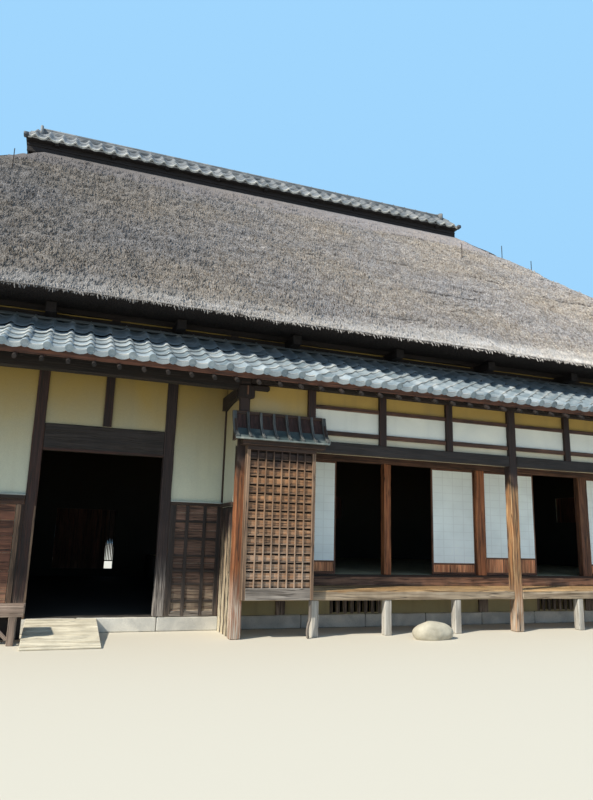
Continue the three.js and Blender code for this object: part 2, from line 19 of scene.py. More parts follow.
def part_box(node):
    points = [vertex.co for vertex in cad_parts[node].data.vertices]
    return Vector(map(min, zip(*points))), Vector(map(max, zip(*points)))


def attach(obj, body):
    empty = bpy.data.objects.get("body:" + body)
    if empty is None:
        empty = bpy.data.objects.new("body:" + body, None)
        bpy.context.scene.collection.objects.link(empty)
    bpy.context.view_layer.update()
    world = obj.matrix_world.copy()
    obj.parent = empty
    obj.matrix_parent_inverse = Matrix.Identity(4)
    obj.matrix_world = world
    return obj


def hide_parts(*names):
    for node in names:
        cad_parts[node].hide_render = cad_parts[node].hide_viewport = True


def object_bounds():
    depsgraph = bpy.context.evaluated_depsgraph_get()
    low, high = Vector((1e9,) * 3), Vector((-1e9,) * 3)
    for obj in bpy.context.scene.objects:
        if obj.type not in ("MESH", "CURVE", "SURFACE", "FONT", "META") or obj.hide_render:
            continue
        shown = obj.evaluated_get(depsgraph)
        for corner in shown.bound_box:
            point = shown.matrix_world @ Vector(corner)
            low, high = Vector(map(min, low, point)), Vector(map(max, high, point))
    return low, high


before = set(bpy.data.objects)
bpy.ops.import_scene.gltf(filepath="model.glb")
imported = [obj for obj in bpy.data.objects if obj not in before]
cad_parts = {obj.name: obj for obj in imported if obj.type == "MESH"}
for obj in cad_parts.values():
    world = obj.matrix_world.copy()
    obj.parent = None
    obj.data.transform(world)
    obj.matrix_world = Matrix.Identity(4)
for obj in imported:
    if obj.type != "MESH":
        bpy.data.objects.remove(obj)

CAD_BOX = [list(corner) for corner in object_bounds()]
LOG = logging.getLogger("farmhouse")
DICE = random.Random(1818)

Colour = tuple[float, float, float]
Corner = tuple[float, float, float]
Piece = bpy.types.Object
Socket = bpy.types.NodeSocket
Gap = tuple[float, float, float, float]
Test = Callable[[Vector, Vector], bool]

# The bay, the lines of the walls and of the outer posts, the left jamb of the doorway and the last stud
KEN = 1.818
WALL_Y = -2.5 * KEN
OUTER_Y = -3 * KEN
OUTER_X = 10.1
WALL_X = OUTER_X - KEN / 2
BEAM_BACK = OUTER_Y + 0.15
DOOR_X = -4.5
END_STUD = 9.019

# Heights of the stone base, the boarded dado and the walls
BASE_TOP = 0.196
DADO_TOP = 1.8
WALL_TOP = 4.718

# Half sizes of the sooted inside, which ends within the timber of the walls and at their plaster
TIMBER_SOOT = {"Half length": 9.0, "Half depth": 4.39}
PLASTER_SOOT = {"Half length": 9.09, "Half depth": 4.444}

# The camera's sensor in millimetres, and its focal length and picture in pixels
SENSOR = 36.0
FOCAL_LENGTH = 645.0
PICTURE_HEIGHT = 800.0


class Grain(Enum):
    """Which way the fibres of a timber run, as the order of its own axes."""

    ALONG_X = (0, 1, 2)
    ALONG_Y = (1, 0, 2)
    ALONG_Z = (2, 0, 1)


class Side(Enum):
    """A side of the house, as the turn in degrees that brings the front to it."""

    FRONT = 0
    RIGHT = 90
    BACK = 180
    LEFT = -90


# Shader nodes


class Wiring:
    """Adds shader nodes to a tree and links them."""

    def __init__(self, tree: bpy.types.NodeTree) -> None:
        """Starts on an emptied tree."""
        tree.nodes.clear()
        self.tree = tree

    def add(self, kind: str, feeds: dict | None = None, **settings: object) -> bpy.types.Node:
        """Adds one node.

        Args:
            kind: Node type without its prefix.
            feeds: A value or an output socket for each input, by name or number.
            settings: Properties of the node.

        Returns:
            The new node.
        """
        node = self.tree.nodes.new("ShaderNode" + kind)
        for key, value in settings.items():
            setattr(node, key, value)
        for key, value in (feeds or {}).items():
            self.feed(node.inputs[key], value)
        return node

    def feed(self, socket: Socket, value: object) -> None:
        """Links an output to a socket, or sets the socket's own value."""
        if isinstance(value, bpy.types.NodeSocket):
            self.tree.links.new(value, socket)
        elif isinstance(value, tuple) and socket.type == "RGBA":
            socket.default_value = (*value, 1.0)
        else:
            socket.default_value = value

    def math(self, operation: str, *values: object) -> Socket:
        """The result of one sum on one or two values."""
        return self.add("Math", dict(enumerate(values)), operation=operation).outputs[0]

    def plus(self, first: object, second: object) -> Socket:
        """Two values added."""
        return self.math("ADD", first, second)

    def minus(self, first: object, second: object) -> Socket:
        """One value less another."""
        return self.math("SUBTRACT", first, second)

    def times(self, first: object, second: object) -> Socket:
        """Two values multiplied."""
        return self.math("MULTIPLY", first, second)

    def from_half(self, value: object) -> Socket:
        """How far a value lies from a half."""
        return self.math("ABSOLUTE", self.minus(value, 0.5))

    def vector(self, operation: str, *values: object) -> Socket:
        """The result of one vector sum."""
        return self.add("VectorMath", dict(enumerate(values)), operation=operation).outputs[0]

    def noise(self, place: Socket, scale: float, detail: float = 3.0, distortion: float = 0.0) -> Socket:
        """Cloudy noise from 0 to 1."""
        feeds = {"Vector": place, "Scale": scale, "Detail": detail, "Distortion": distortion}
        return self.add("TexNoise", feeds).outputs[0]

    def stretch(self, place: Socket, scale: Corner) -> Socket:
        """A place multiplied along each axis."""
        return self.vector("MULTIPLY", place, scale)

    def split(self, place: Socket) -> list[Socket]:
        """The three parts of a vector."""
        return list(self.add("SeparateXYZ", {0: place}).outputs)

    def band(self, value: object, low: object, high: object, to_low: float = 0.0, to_high: float = 1.0) -> Socket:
        """A smooth step from one value to another while the input goes from low to high."""
        feeds = {0: value, 1: low, 2: high, 3: to_low, 4: to_high}
        return self.add("MapRange", feeds, interpolation_type="SMOOTHSTEP").outputs[0]

    def mix(self, share: object, first: object, second: object, blend: str = "MIX") -> Socket:
        """Two colours mixed by a share."""
        feeds = {0: share, 6: first, 7: second}
        return self.add("Mix", feeds, data_type="RGBA", blend_type=blend, clamp_factor=True).outputs[2]

    def shade(self, colour: Socket, value: object) -> Socket:
        """A colour made darker or lighter by a factor."""
        return self.add("HueSaturation", {"Color": colour, "Value": value}).outputs[0]

    def objects_place(self) -> Socket:
        """The place of a point on the piece."""
        return self.add("TexCoord").outputs["Object"]

    def attribute(self, name: str) -> bpy.types.Node:
        """What the piece's mesh says at a point."""
        return self.add("Attribute", attribute_name=name)

    def effect(self, tree: bpy.types.NodeTree, feeds: dict | None = None) -> bpy.types.Node:
        """Places a shared effect."""
        return self.add("Group", feeds, node_tree=tree)


class Effects:
    """The effects that several materials share, each built once as a node group."""

    _made: dict[str, bpy.types.NodeTree] = {}

    @classmethod
    def _group(cls, name: str, takes: dict[str, str], gives: dict[str, str],
               wire: Callable[[Wiring, dict[str, Socket]], dict[str, Socket]]) -> bpy.types.NodeTree:
        """Builds a group the first time it is asked for.

        Args:
            name: Name of the group.
            takes: Kind of each input socket.
            gives: Kind of each output socket.
            wire: Wires the nodes from the inputs and returns the outputs.

        Returns:
            The group.
        """
        if name in cls._made:
            return cls._made[name]
        tree = bpy.data.node_groups.new(name, "ShaderNodeTree")
        for label, kind in takes.items():
            tree.interface.new_socket(name=label, in_out="INPUT", socket_type="NodeSocket" + kind)
        for label, kind in gives.items():
            tree.interface.new_socket(name=label, in_out="OUTPUT", socket_type="NodeSocket" + kind)
        wiring = Wiring(tree)
        source = tree.nodes.new("NodeGroupInput")
        end = tree.nodes.new("NodeGroupOutput")
        made = wire(wiring, {label: source.outputs[label] for label in takes})
        for label, socket in made.items():
            tree.links.new(socket, end.inputs[label])
        cls._made[name] = tree
        return tree

    @classmethod
    def grain(cls) -> bpy.types.NodeTree:
        """Fibres, figure and cracks that run along a timber."""
        def wire(g: Wiring, given: dict[str, Socket]) -> dict[str, Socket]:
            """Wires the grain from the timber's own place."""
            tone = g.attribute("tone").outputs["Fac"]
            thrice = g.add("CombineXYZ", {0: tone, 1: tone, 2: tone}).outputs[0]
            shift = g.vector("MULTIPLY", (31.0, 17.0, 53.0), thrice)
            place = g.vector("ADD", g.attribute("grain").outputs["Vector"], shift)
            fine = g.noise(g.stretch(place, (3.0, 95.0, 95.0)), 1.0, 3.0)
            figure = g.noise(g.stretch(place, (0.9, 15.0, 15.0)), 1.0, 3.0, 0.8)
            split = g.noise(g.stretch(place, (0.8, 30.0, 30.0)), 1.0, 1.5)
            gap = g.from_half(split)
            crack = g.band(gap, 0.0, g.times(given["Crack width"], 0.03), 1.0, 0.0)
            lift = g.plus(g.times(fine, 0.5), g.times(figure, 0.5))
            height = g.minus(lift, g.times(crack, 1.1))
            return {"Fibre": fine, "Figure": figure, "Crack": crack, "Tone": tone, "Height": height}
        return cls._group("timber grain", {"Crack width": "Float"},
                          dict.fromkeys(("Fibre", "Figure", "Crack", "Tone", "Height"), "Float"), wire)

    @classmethod
    def worn_edges(cls) -> bpy.types.NodeTree:
        """A mask that is 1 at the long edges and ends of a timber."""
        def wire(g: Wiring, given: dict[str, Socket]) -> dict[str, Socket]:
            """Takes the second smallest distance to the faces."""
            inside = g.vector("SUBTRACT", g.attribute("half").outputs["Vector"],
                              g.vector("ABSOLUTE", g.attribute("grain").outputs["Vector"]))
            a, b, c = g.split(inside)
            low = g.math("MINIMUM", a, b)
            high = g.math("MAXIMUM", a, b)
            near = g.math("MAXIMUM", low, g.math("MINIMUM", high, c))
            ragged = g.noise(g.objects_place(), 26.0, 2.0)
            reach = g.times(given["Reach"], g.plus(ragged, 0.35))
            return {"Edge": g.band(near, 0.0, reach, 1.0, 0.0)}
        return cls._group("worn edges", {"Reach": "Float"}, {"Edge": "Float"}, wire)

    @classmethod
    def weather(cls) -> bpy.types.NodeTree:
        """A mask that fades with height, broken up by blotches, for feet of posts and foot of walls."""
        def wire(g: Wiring, given: dict[str, Socket]) -> dict[str, Socket]:
            """Fades from the low height to the high one."""
            place = g.objects_place()
            height = g.split(place)[2]
            blot = g.noise(g.stretch(place, (1.0, 1.0, 0.45)), 5.0, 3.0)
            fade = g.band(height, given["Low"], given["High"], 1.0, 0.0)
            foot = g.times(fade, g.band(blot, 0.2, 0.55, 0.35, 1.0))
            return {"Foot": foot, "Blotch": blot}
        return cls._group("weathering", {"Low": "Float", "High": "Float"}, {"Foot": "Float", "Blotch": "Float"}, wire)

    @classmethod
    def grit(cls) -> bpy.types.NodeTree:
        """Stains and grit of plaster, stone and fired clay."""
        def wire(g: Wiring, given: dict[str, Socket]) -> dict[str, Socket]:
            """Lays clouds, runs of rain and fine grains over each other."""
            place = g.objects_place()
            cloud = g.noise(place, given["Scale"], 4.0, 0.4)
            runs = g.noise(g.stretch(place, (7.0, 7.0, 0.5)), 1.0, 3.0)
            grains = g.noise(place, 160.0, 2.0)
            height = g.plus(g.times(cloud, 0.6), g.times(grains, 0.4))
            return {"Cloud": cloud, "Runs": runs, "Grains": grains, "Height": height}
        return cls._group("stains and grit", {"Scale": "Float"},
                          dict.fromkeys(("Cloud", "Runs", "Grains", "Height"), "Float"), wire)

    @classmethod
    def soot(cls) -> bpy.types.NodeTree:
        """A mask that is 1 inside the walls, where smoke has darkened everything."""
        def wire(g: Wiring, given: dict[str, Socket]) -> dict[str, Socket]:
            """Compares the place with the inner faces of the walls."""
            x, y, _ = g.split(g.objects_place())
            wide = g.math("LESS_THAN", g.math("ABSOLUTE", x), given["Half length"])
            deep = g.math("LESS_THAN", g.math("ABSOLUTE", y), given["Half depth"])
            return {"Inside": g.times(wide, deep)}
        return cls._group("soot", {"Half length": "Float", "Half depth": "Float"}, {"Inside": "Float"}, wire)


class Finish:
    """A finish of the house. Each makes its material once."""

    _made: dict[str, bpy.types.Material] = {}
    name: str

    def material(self) -> bpy.types.Material:
        """The material of this finish."""
        if self.name not in self._made:
            material = bpy.data.materials.new(self.name)
            material.use_nodes = True
            self.wire(Wiring(material.node_tree))
            self._made[self.name] = material
        return self._made[self.name]

    def wire(self, g: Wiring) -> None:
        """Builds the shader."""
        raise NotImplementedError

    @staticmethod
    def close(g: Wiring, colour: Socket, roughness: object, height: Socket, strength: float, depth: float) -> None:
        """Ends a material with its shader.

        Args:
            g: The wiring of the material.
            colour: Colour of the surface.
            roughness: Roughness, a number or a socket.
            height: Relief of the surface.
            strength: How strong the relief is.
            depth: How deep the relief is.
        """
        bump = g.add("Bump", {"Height": height, "Strength": strength, "Distance": depth})
        feeds = {"Base Color": colour, "Roughness": roughness, "Normal": bump.outputs[0]}
        shader = g.add("BsdfPrincipled", feeds)
        g.add("OutputMaterial", {"Surface": shader.outputs[0]})


@dataclass(frozen=True)
class TimberFinish(Finish):
    """Weathered timber: its valleys, faces, worn edges and bleached foot, and a near-black top of soot and painted
    shade.
    """

    name: str
    deep: Colour
    face: Colour
    worn: Colour
    foot: Colour = (0.42, 0.40, 0.37)
    foot_band: tuple[float, float] = (0.0, 0.01)
    cracks: float = 1.0
    reach: float = 0.012
    vary: float = 0.5
    roughness: float = 0.75
    relief: float = 0.6
    # Height above which the timber is painted near-black: soot, and the painted shade of the eaves
    smoke_and_shade: float = 99.0
    sooted: float = 0.85

    def wire(self, g: Wiring) -> None:
        """Builds the shader."""
        grain = g.effect(Effects.grain(), {"Crack width": self.cracks}).outputs
        edge = g.effect(Effects.worn_edges(), {"Reach": self.reach}).outputs["Edge"]
        weather = g.effect(Effects.weather(), {"Low": self.foot_band[0], "High": self.foot_band[1]}).outputs
        inside = g.effect(Effects.soot(), TIMBER_SOOT).outputs["Inside"]
        colour = g.mix(g.band(grain["Figure"], 0.32, 0.66), self.deep, self.face)
        colour = g.mix(g.times(g.band(grain["Fibre"], 0.45, 0.75), 0.55), colour, self.worn)
        colour = g.mix(g.times(edge, 0.6), colour, self.worn)
        bleached = g.mix(g.band(grain["Fibre"], 0.3, 0.65), self.face, self.foot)
        colour = g.mix(weather["Foot"], colour, bleached)
        height = g.plus(g.split(g.objects_place())[2], g.times(weather["Blotch"], 0.6))
        # Above that height the colour turns near-black: soot, and painted shade of the eaves
        smoke_and_shade_top = g.band(height, self.smoke_and_shade, self.smoke_and_shade + 0.35)
        colour = g.mix(smoke_and_shade_top, colour, g.mix(grain["Fibre"], (0.010, 0.006, 0.006), (0.055, 0.030, 0.024)))
        low, high = 1.0 - self.vary / 2, 1.0 + self.vary / 2
        colour = g.shade(colour, g.band(grain["Tone"], 0.0, 1.0, low, high))
        colour = g.shade(colour, g.band(weather["Blotch"], 0.25, 0.75, 0.8, 1.12))
        colour = g.mix(g.times(grain["Crack"], 0.85), colour, (0.02, 0.015, 0.012))
        colour = g.mix(g.times(inside, self.sooted), colour, (0.012, 0.009, 0.008))
        self.close(g, colour, g.band(grain["Fibre"], 0.2, 0.8, self.roughness - 0.12, self.roughness + 0.1),
                   grain["Height"], self.relief, 0.006)


@dataclass(frozen=True)
class PlasterFinish(Finish):
    """Earth plaster with stains, runs of rain and grit."""

    name: str
    top: Colour
    bottom: Colour
    heights: tuple[float, float]
    stain: Colour = (0.16, 0.13, 0.08)
    stained: float = 0.35

    def wire(self, g: Wiring) -> None:
        """Builds the shader."""
        grit = g.effect(Effects.grit(), {"Scale": 1.3}).outputs
        height = g.split(g.objects_place())[2]
        wander = g.plus(height, g.times(g.minus(grit["Cloud"], 0.5), 0.9))
        colour = g.mix(g.band(wander, *self.heights), self.bottom, self.top)
        runs = g.times(g.band(grit["Runs"], 0.5, 0.78), self.stained)
        colour = g.mix(runs, colour, self.stain)
        colour = g.shade(colour, g.band(grit["Cloud"], 0.25, 0.75, 0.86, 1.1))
        colour = g.shade(colour, g.band(grit["Grains"], 0.3, 0.7, 0.9, 1.06))
        inside = g.effect(Effects.soot(), PLASTER_SOOT).outputs["Inside"]
        colour = g.mix(g.times(inside, 0.93), colour, (0.02, 0.014, 0.01))
        self.close(g, colour, g.band(grit["Grains"], 0.2, 0.8, 0.82, 0.96), grit["Height"], 0.35, 0.004)


@dataclass(frozen=True)
class StoneFinish(Finish):
    """Worn stone with pits and stains."""

    name: str
    pale: Colour
    dark: Colour
    scale: float = 3.0
    dusty: float = 0.5

    def wire(self, g: Wiring) -> None:
        """Builds the shader."""
        grit = g.effect(Effects.grit(), {"Scale": self.scale}).outputs
        place = g.objects_place()
        pits = g.add("TexVoronoi", {"Vector": place, "Scale": 38.0}).outputs["Distance"]
        colour = g.mix(g.band(grit["Cloud"], 0.3, 0.7), self.dark, self.pale)
        colour = g.mix(g.times(g.band(pits, 0.0, 0.22, 1.0, 0.0), 0.35), colour, self.dark)
        colour = g.shade(colour, g.band(grit["Grains"], 0.3, 0.7, 0.85, 1.12))
        facing = g.split(g.add("NewGeometry").outputs["Normal"])[2]
        dust = g.times(g.band(facing, 0.3, 1.0), self.dusty)
        colour = g.mix(dust, colour, (0.62, 0.57, 0.45))
        self.close(g, colour, g.band(grit["Cloud"], 0.2, 0.8, 0.75, 0.95), grit["Height"], 0.6, 0.006)


@dataclass(frozen=True)
class TileFinish(Finish):
    """Smoked clay tiles: each tile has its own tone, with grey bloom and lichen, and painted shade that darkens them
    towards the right end.
    """

    name: str
    dark: Colour
    pale: Colour
    bloom: Colour = (0.50, 0.51, 0.47)
    bloomed: float = 0.5
    gloss: tuple[float, float] = (0.42, 0.72)

    def wire(self, g: Wiring) -> None:
        """Builds the shader."""
        grit = g.effect(Effects.grit(), {"Scale": 4.5}).outputs
        tone = g.attribute("tone").outputs["Fac"]
        colour = g.mix(tone, self.dark, self.pale)
        patches = g.times(g.band(grit["Cloud"], 0.42, 0.72), self.bloomed)
        colour = g.mix(patches, colour, self.bloom)
        colour = g.shade(colour, g.band(grit["Grains"], 0.3, 0.7, 0.82, 1.12))
        # Painted light and shade along the house: lighter towards the left end and darker towards the right, where
        # raking light leaves more shade between the rolls
        colour = g.shade(colour, g.band(g.split(g.objects_place())[0], -10.0, 10.0, 1.22, 0.84))
        self.close(g, colour, g.band(grit["Cloud"], 0.3, 0.7, *self.gloss), grit["Height"], 0.35, 0.004)


@dataclass(frozen=True)
class ThatchFinish(Finish):
    """Old reed thatch: specks of straw, dark cracks between courses and a bleached lip."""

    name: str
    deep: Colour = (0.108, 0.086, 0.072)
    face: Colour = (0.295, 0.28, 0.27)
    straw: Colour = (0.52, 0.485, 0.42)
    lip: Colour = (0.62, 0.60, 0.585)
    cap: Colour = (0.205, 0.190, 0.198)

    def wire(self, g: Wiring) -> None:
        """Builds the shader."""
        lie = g.attribute("lie").outputs["Vector"]
        along, up, _ = g.split(lie)
        specks = g.noise(g.stretch(lie, (46.0, 15.0, 40.0)), 1.0, 2.0)
        fine = g.noise(g.stretch(lie, (110.0, 22.0, 90.0)), 1.0, 2.0)
        clumps = g.noise(g.stretch(lie, (5.5, 4.0, 5.0)), 1.0, 3.0)
        patches = g.noise(g.stretch(lie, (0.35, 0.55, 0.5)), 1.0, 3.0)
        colour = g.mix(g.band(specks, 0.34, 0.60), self.deep, self.face)
        colour = g.mix(g.times(g.band(fine, 0.48, 0.72), 0.7), colour, self.straw)
        warm = g.mix(g.band(patches, 0.35, 0.65), (0.94, 0.96, 1.03), (1.05, 1.0, 0.94))
        colour = g.mix(1.0, colour, warm, "MULTIPLY")
        colour = g.shade(colour, g.band(clumps, 0.28, 0.72, 0.74, 1.2))
        low = g.plus(up, g.times(g.minus(clumps, 0.5), 0.5))
        colour = g.mix(g.times(g.band(low, 0.15, 0.75, 1.0, 0.0), 0.5), colour, self.lip)
        wave = g.noise(g.stretch(lie, (0.22, 0.9, 0.3)), 1.0, 2.0)
        course = g.math("FRACT", g.plus(g.math("DIVIDE", up, 0.5), g.times(wave, 1.7)))
        thin = g.band(g.from_half(course), 0.0, 0.10, 1.0, 0.0)
        present = g.band(g.noise(g.stretch(lie, (0.5, 1.4, 0.5)), 1.0, 3.0), 0.52, 0.62)
        place = g.split(g.objects_place())[0]
        crack = g.times(g.times(thin, present), g.band(place, -4.0, 2.0, 0.25, 1.0))
        holes = g.add("TexVoronoi", {"Vector": g.stretch(lie, (1.0, 1.6, 1.0)), "Scale": 0.9}).outputs["Distance"]
        crack = g.math("MAXIMUM", crack, g.band(holes, 0.03, 0.055, 1.0, 0.0))
        top = g.band(g.plus(up, g.times(clumps, 0.3)), 6.22, 6.34)
        streaks = g.noise(g.stretch(lie, (0.55, 13.0, 1.0)), 1.0, 3.0)
        colour = g.shade(colour, g.band(streaks, 0.35, 0.65, 0.84, 1.14))
        colour = g.mix(g.times(top, 0.65), colour, self.cap)
        colour = g.shade(colour, g.band(place, -9.0, 11.0, 0.55, 1.76))
        colour = g.mix(g.times(crack, 0.8), colour, (0.035, 0.028, 0.024))
        under = g.attribute("under").outputs["Fac"]
        reeds = g.noise(g.stretch(lie, (60.0, 3.0, 60.0)), 1.0, 2.0)
        reed = g.mix(g.band(reeds, 0.35, 0.65), (0.012, 0.007, 0.006), (0.040, 0.024, 0.019))
        colour = g.mix(under, colour, reed)
        relief = g.plus(specks, g.times(fine, 0.45))
        relief = g.minus(relief, g.times(crack, 0.9))
        relief = g.times(relief, g.band(top, 0.0, 1.0, 1.0, 0.3))
        self.close(g, colour, g.band(fine, 0.2, 0.8, 0.86, 1.0), relief, 1.0, 0.05)


@dataclass(frozen=True)
class PaperFinish(Finish):
    """White paper on a fine lattice that shows through it as pale grey lines."""

    name: str
    pane: tuple[float, float] = (0.2, 0.13)

    def wire(self, g: Wiring) -> None:
        """Builds the shader."""
        grain = g.attribute("grain").outputs["Vector"]
        up, across, _ = g.split(grain)
        lines = []
        for value, pitch in ((across, self.pane[0]), (up, self.pane[1])):
            share = g.math("FRACT", g.plus(g.math("DIVIDE", value, pitch), 100.5))
            lines.append(g.band(g.from_half(share), 0.02, 0.05, 1.0, 0.0))
        lattice = g.math("MAXIMUM", *lines)
        grit = g.effect(Effects.grit(), {"Scale": 2.2}).outputs
        height = g.split(g.objects_place())[2]
        # The paper is painted bluer towards its foot: painted cool skylight, warmer towards its top
        sheet = g.mix(g.band(height, 1.0, 2.5), (0.86, 0.98, 1.0), (0.88, 0.96, 0.93))
        colour = g.mix(g.times(lattice, 0.16), sheet, (0.36, 0.38, 0.38))
        colour = g.shade(colour, g.band(grit["Cloud"], 0.3, 0.7, 0.93, 1.03))
        self.close(g, colour, 0.85, grit["Height"], 0.15, 0.002)


# Finishes of the house, measured against the photograph
DARK_TIMBER = TimberFinish("dark timber", (0.014, 0.008, 0.006), (0.038, 0.021, 0.015), (0.095, 0.052, 0.035))
# Near-black timber of the eave arms and plates and of the bench's back: soot, with painted shade of the eaves and the
# seat
SOOT_AND_SHADE_TIMBER = TimberFinish("smoked timber", (0.005, 0.003, 0.003), (0.014, 0.009, 0.008), (0.030, 0.019, 0.016),
                             reach=0.004)
RAFTER_TIMBER = TimberFinish("rafter timber", (0.005, 0.003, 0.002), (0.015, 0.008, 0.006), (0.030, 0.016, 0.011),
                             reach=0.002)
HEAD_TIMBER = TimberFinish("head timber", (0.012, 0.010, 0.010), (0.027, 0.022, 0.021), (0.065, 0.052, 0.047), vary=0.2)
JAMB_TIMBER = TimberFinish("jamb timber", (0.011, 0.006, 0.005), (0.032, 0.015, 0.013), (0.105, 0.045, 0.032),
                           (0.30, 0.24, 0.19), (0.2, 0.55))
# The right jamb's foot is pale from weathering and from painted sunlight on its lower part
WEATHERED_SUNLIT_JAMB = TimberFinish("weathered_and_sunlit jamb timber", (0.011, 0.007, 0.007), (0.030, 0.019, 0.019), (0.090, 0.060, 0.055),
                           (0.38, 0.35, 0.32), (0.25, 1.1))
# Posts: near-black above the height where the eave's shade falls on them, which is soot and painted shade
POST_TIMBER = TimberFinish("post timber", (0.050, 0.015, 0.006), (0.245, 0.078, 0.027), (0.48, 0.235, 0.090),
                           (0.45, 0.415, 0.355), (0.3, 0.95), cracks=0.9, vary=0.1, relief=0.9, smoke_and_shade=2.36)
MAIN_POST = TimberFinish("main post timber", (0.085, 0.032, 0.013), (0.38, 0.185, 0.075), (0.68, 0.52, 0.29),
                         (0.48, 0.44, 0.38), (0.2, 0.85), cracks=1.2, vary=0.1, relief=0.9, smoke_and_shade=2.40)
DARK_POST = TimberFinish("dark post timber", (0.045, 0.018, 0.010), (0.15, 0.062, 0.034), (0.36, 0.19, 0.095),
                         cracks=1.0, vary=0.3)
ROOM_POST = TimberFinish("room post timber", (0.110, 0.034, 0.014), (0.40, 0.140, 0.054), (0.60, 0.28, 0.12),
                         cracks=1.0, vary=0.3)
RED_TIMBER = TimberFinish("red timber", (0.030, 0.013, 0.009), (0.085, 0.040, 0.026), (0.22, 0.11, 0.065),
                          vary=0.3)
EAVE_BOARD = TimberFinish("eave board", (0.040, 0.014, 0.009), (0.105, 0.038, 0.022), (0.22, 0.095, 0.055), vary=0.2)
RAFTER_END = TimberFinish("rafter end", (0.010, 0.007, 0.006), (0.024, 0.017, 0.016), (0.075, 0.058, 0.054), vary=1.6,
                          reach=0.004)
GREY_TIMBER = TimberFinish("grey timber", (0.12, 0.098, 0.082), (0.25, 0.218, 0.192), (0.42, 0.385, 0.345), vary=0.3)
FOOT_TIMBER = TimberFinish("foot timber", (0.33, 0.305, 0.27), (0.54, 0.515, 0.465), (0.66, 0.64, 0.59),
                           cracks=0.35, vary=0.25)
EDGE_TIMBER = TimberFinish("edge timber", (0.155, 0.112, 0.070), (0.325, 0.255, 0.18), (0.51, 0.43, 0.335), vary=0.3)
STILE_TIMBER = TimberFinish("stile timber", (0.080, 0.046, 0.028), (0.20, 0.122, 0.078), (0.36, 0.25, 0.165), vary=0.2)
DECK_BOARD = TimberFinish("deck board", (0.25, 0.140, 0.060), (0.55, 0.345, 0.160), (0.70, 0.49, 0.27), vary=0.35,
                          roughness=0.55)
WALL_BOARD = TimberFinish("wall board", (0.048, 0.017, 0.011), (0.20, 0.080, 0.047), (0.43, 0.21, 0.12),
                          (0.38, 0.25, 0.155), (0.15, 0.8), vary=0.6)
GREY_BOARD = TimberFinish("grey board", (0.040, 0.020, 0.015), (0.15, 0.082, 0.058), (0.34, 0.22, 0.165),
                          (0.46, 0.38, 0.28), (0.35, 0.75), vary=0.6)
# Uprights: near-black above the height where the pent eave's shade falls, which is soot and painted shade
UPRIGHT = TimberFinish("upright timber", (0.085, 0.055, 0.034), (0.26, 0.190, 0.128), (0.50, 0.41, 0.27),
                       (0.68, 0.62, 0.46), (0.05, 1.0), cracks=0.6, vary=0.5, smoke_and_shade=1.5)
BATTEN = TimberFinish("batten", (0.010, 0.008, 0.008), (0.028, 0.021, 0.020), (0.085, 0.062, 0.052),
                      (0.13, 0.10, 0.08), (0.15, 0.5), vary=0.3)
# Lattice bars and box boards: near-black in the top rows under the little roof, which is soot and painted shade
LATTICE_BAR = TimberFinish("lattice bar", (0.13, 0.070, 0.038), (0.30, 0.175, 0.100), (0.46, 0.31, 0.20),
                           (0.36, 0.29, 0.235), (0.6, 1.9), vary=0.3, reach=0.004, smoke_and_shade=2.5)
BOX_BOARD = TimberFinish("box board", (0.10, 0.046, 0.022), (0.34, 0.17, 0.080), (0.54, 0.33, 0.18),
                         (0.36, 0.285, 0.22), (0.6, 1.9), vary=0.5, smoke_and_shade=2.46)
RIDGE_BOARD = TimberFinish("ridge board", (0.016, 0.012, 0.015), (0.045, 0.036, 0.045), (0.12, 0.10, 0.10),
                           cracks=1.4, vary=0.4)
RAMP_BOARD = TimberFinish("ramp board", (0.55, 0.49, 0.37), (0.78, 0.72, 0.57), (0.86, 0.81, 0.67), cracks=0.25,
                          vary=0.15)
BENCH_BOARD = TimberFinish("bench board", (0.17, 0.12, 0.092), (0.31, 0.225, 0.18), (0.50, 0.41, 0.33), cracks=0.4,
                           vary=0.2)
LEAF_TIMBER = TimberFinish("panel frame timber", (0.06, 0.024, 0.015), (0.15, 0.065, 0.038), (0.30, 0.16, 0.10),
                           vary=0.3, reach=0.005)
FOOT_BOARD = TimberFinish("panel foot board", (0.34, 0.105, 0.042), (0.78, 0.34, 0.16), (0.86, 0.52, 0.29),
                          vary=0.5, reach=0.004)
RIB_TIMBER = TimberFinish("rib timber", (0.030, 0.037, 0.040), (0.075, 0.088, 0.093), (0.24, 0.245, 0.235), vary=0.2)
PAN_BOARD = TimberFinish("pan board", (0.024, 0.011, 0.010), (0.062, 0.029, 0.025), (0.13, 0.065, 0.055), vary=0.4)
SILL_TIMBER = TimberFinish("sill timber", (0.15, 0.068, 0.042), (0.43, 0.215, 0.125), (0.62, 0.37, 0.23), vary=0.3)
MAT = TimberFinish("straw mat", (0.60, 0.56, 0.36), (0.75, 0.70, 0.46), (0.80, 0.76, 0.54), cracks=0.0, vary=0.1,
                   sooted=0.2)
HALL_PLASTER = PlasterFinish("hall plaster", (0.335, 0.232, 0.060), (0.59, 0.62, 0.505), (1.75, 3.75), stained=0.1)
BAND_PLASTER = PlasterFinish("band plaster", (0.47, 0.315, 0.088), (0.48, 0.43, 0.30), (2.7, 3.35), stained=0.15)
PALE_STRIP = PlasterFinish("pale strip", (0.62, 0.57, 0.43), (0.62, 0.57, 0.43), (2.8, 3.2), stained=0.1)
WHITE_PANEL = PlasterFinish("white panel", (0.80, 0.80, 0.70), (0.84, 0.86, 0.79), (2.8, 3.2),
                            (0.30, 0.30, 0.27), 0.08)
OLIVE_PLASTER = PlasterFinish("olive plaster", (0.27, 0.22, 0.105), (0.36, 0.31, 0.17), (0.2, 0.6))
BASE_STONE = StoneFinish("base stone", (0.68, 0.66, 0.60), (0.42, 0.42, 0.40))
HALL_FLOOR = StoneFinish("beaten earth", (0.060, 0.052, 0.045), (0.030, 0.027, 0.024), 1.5, 0.0)
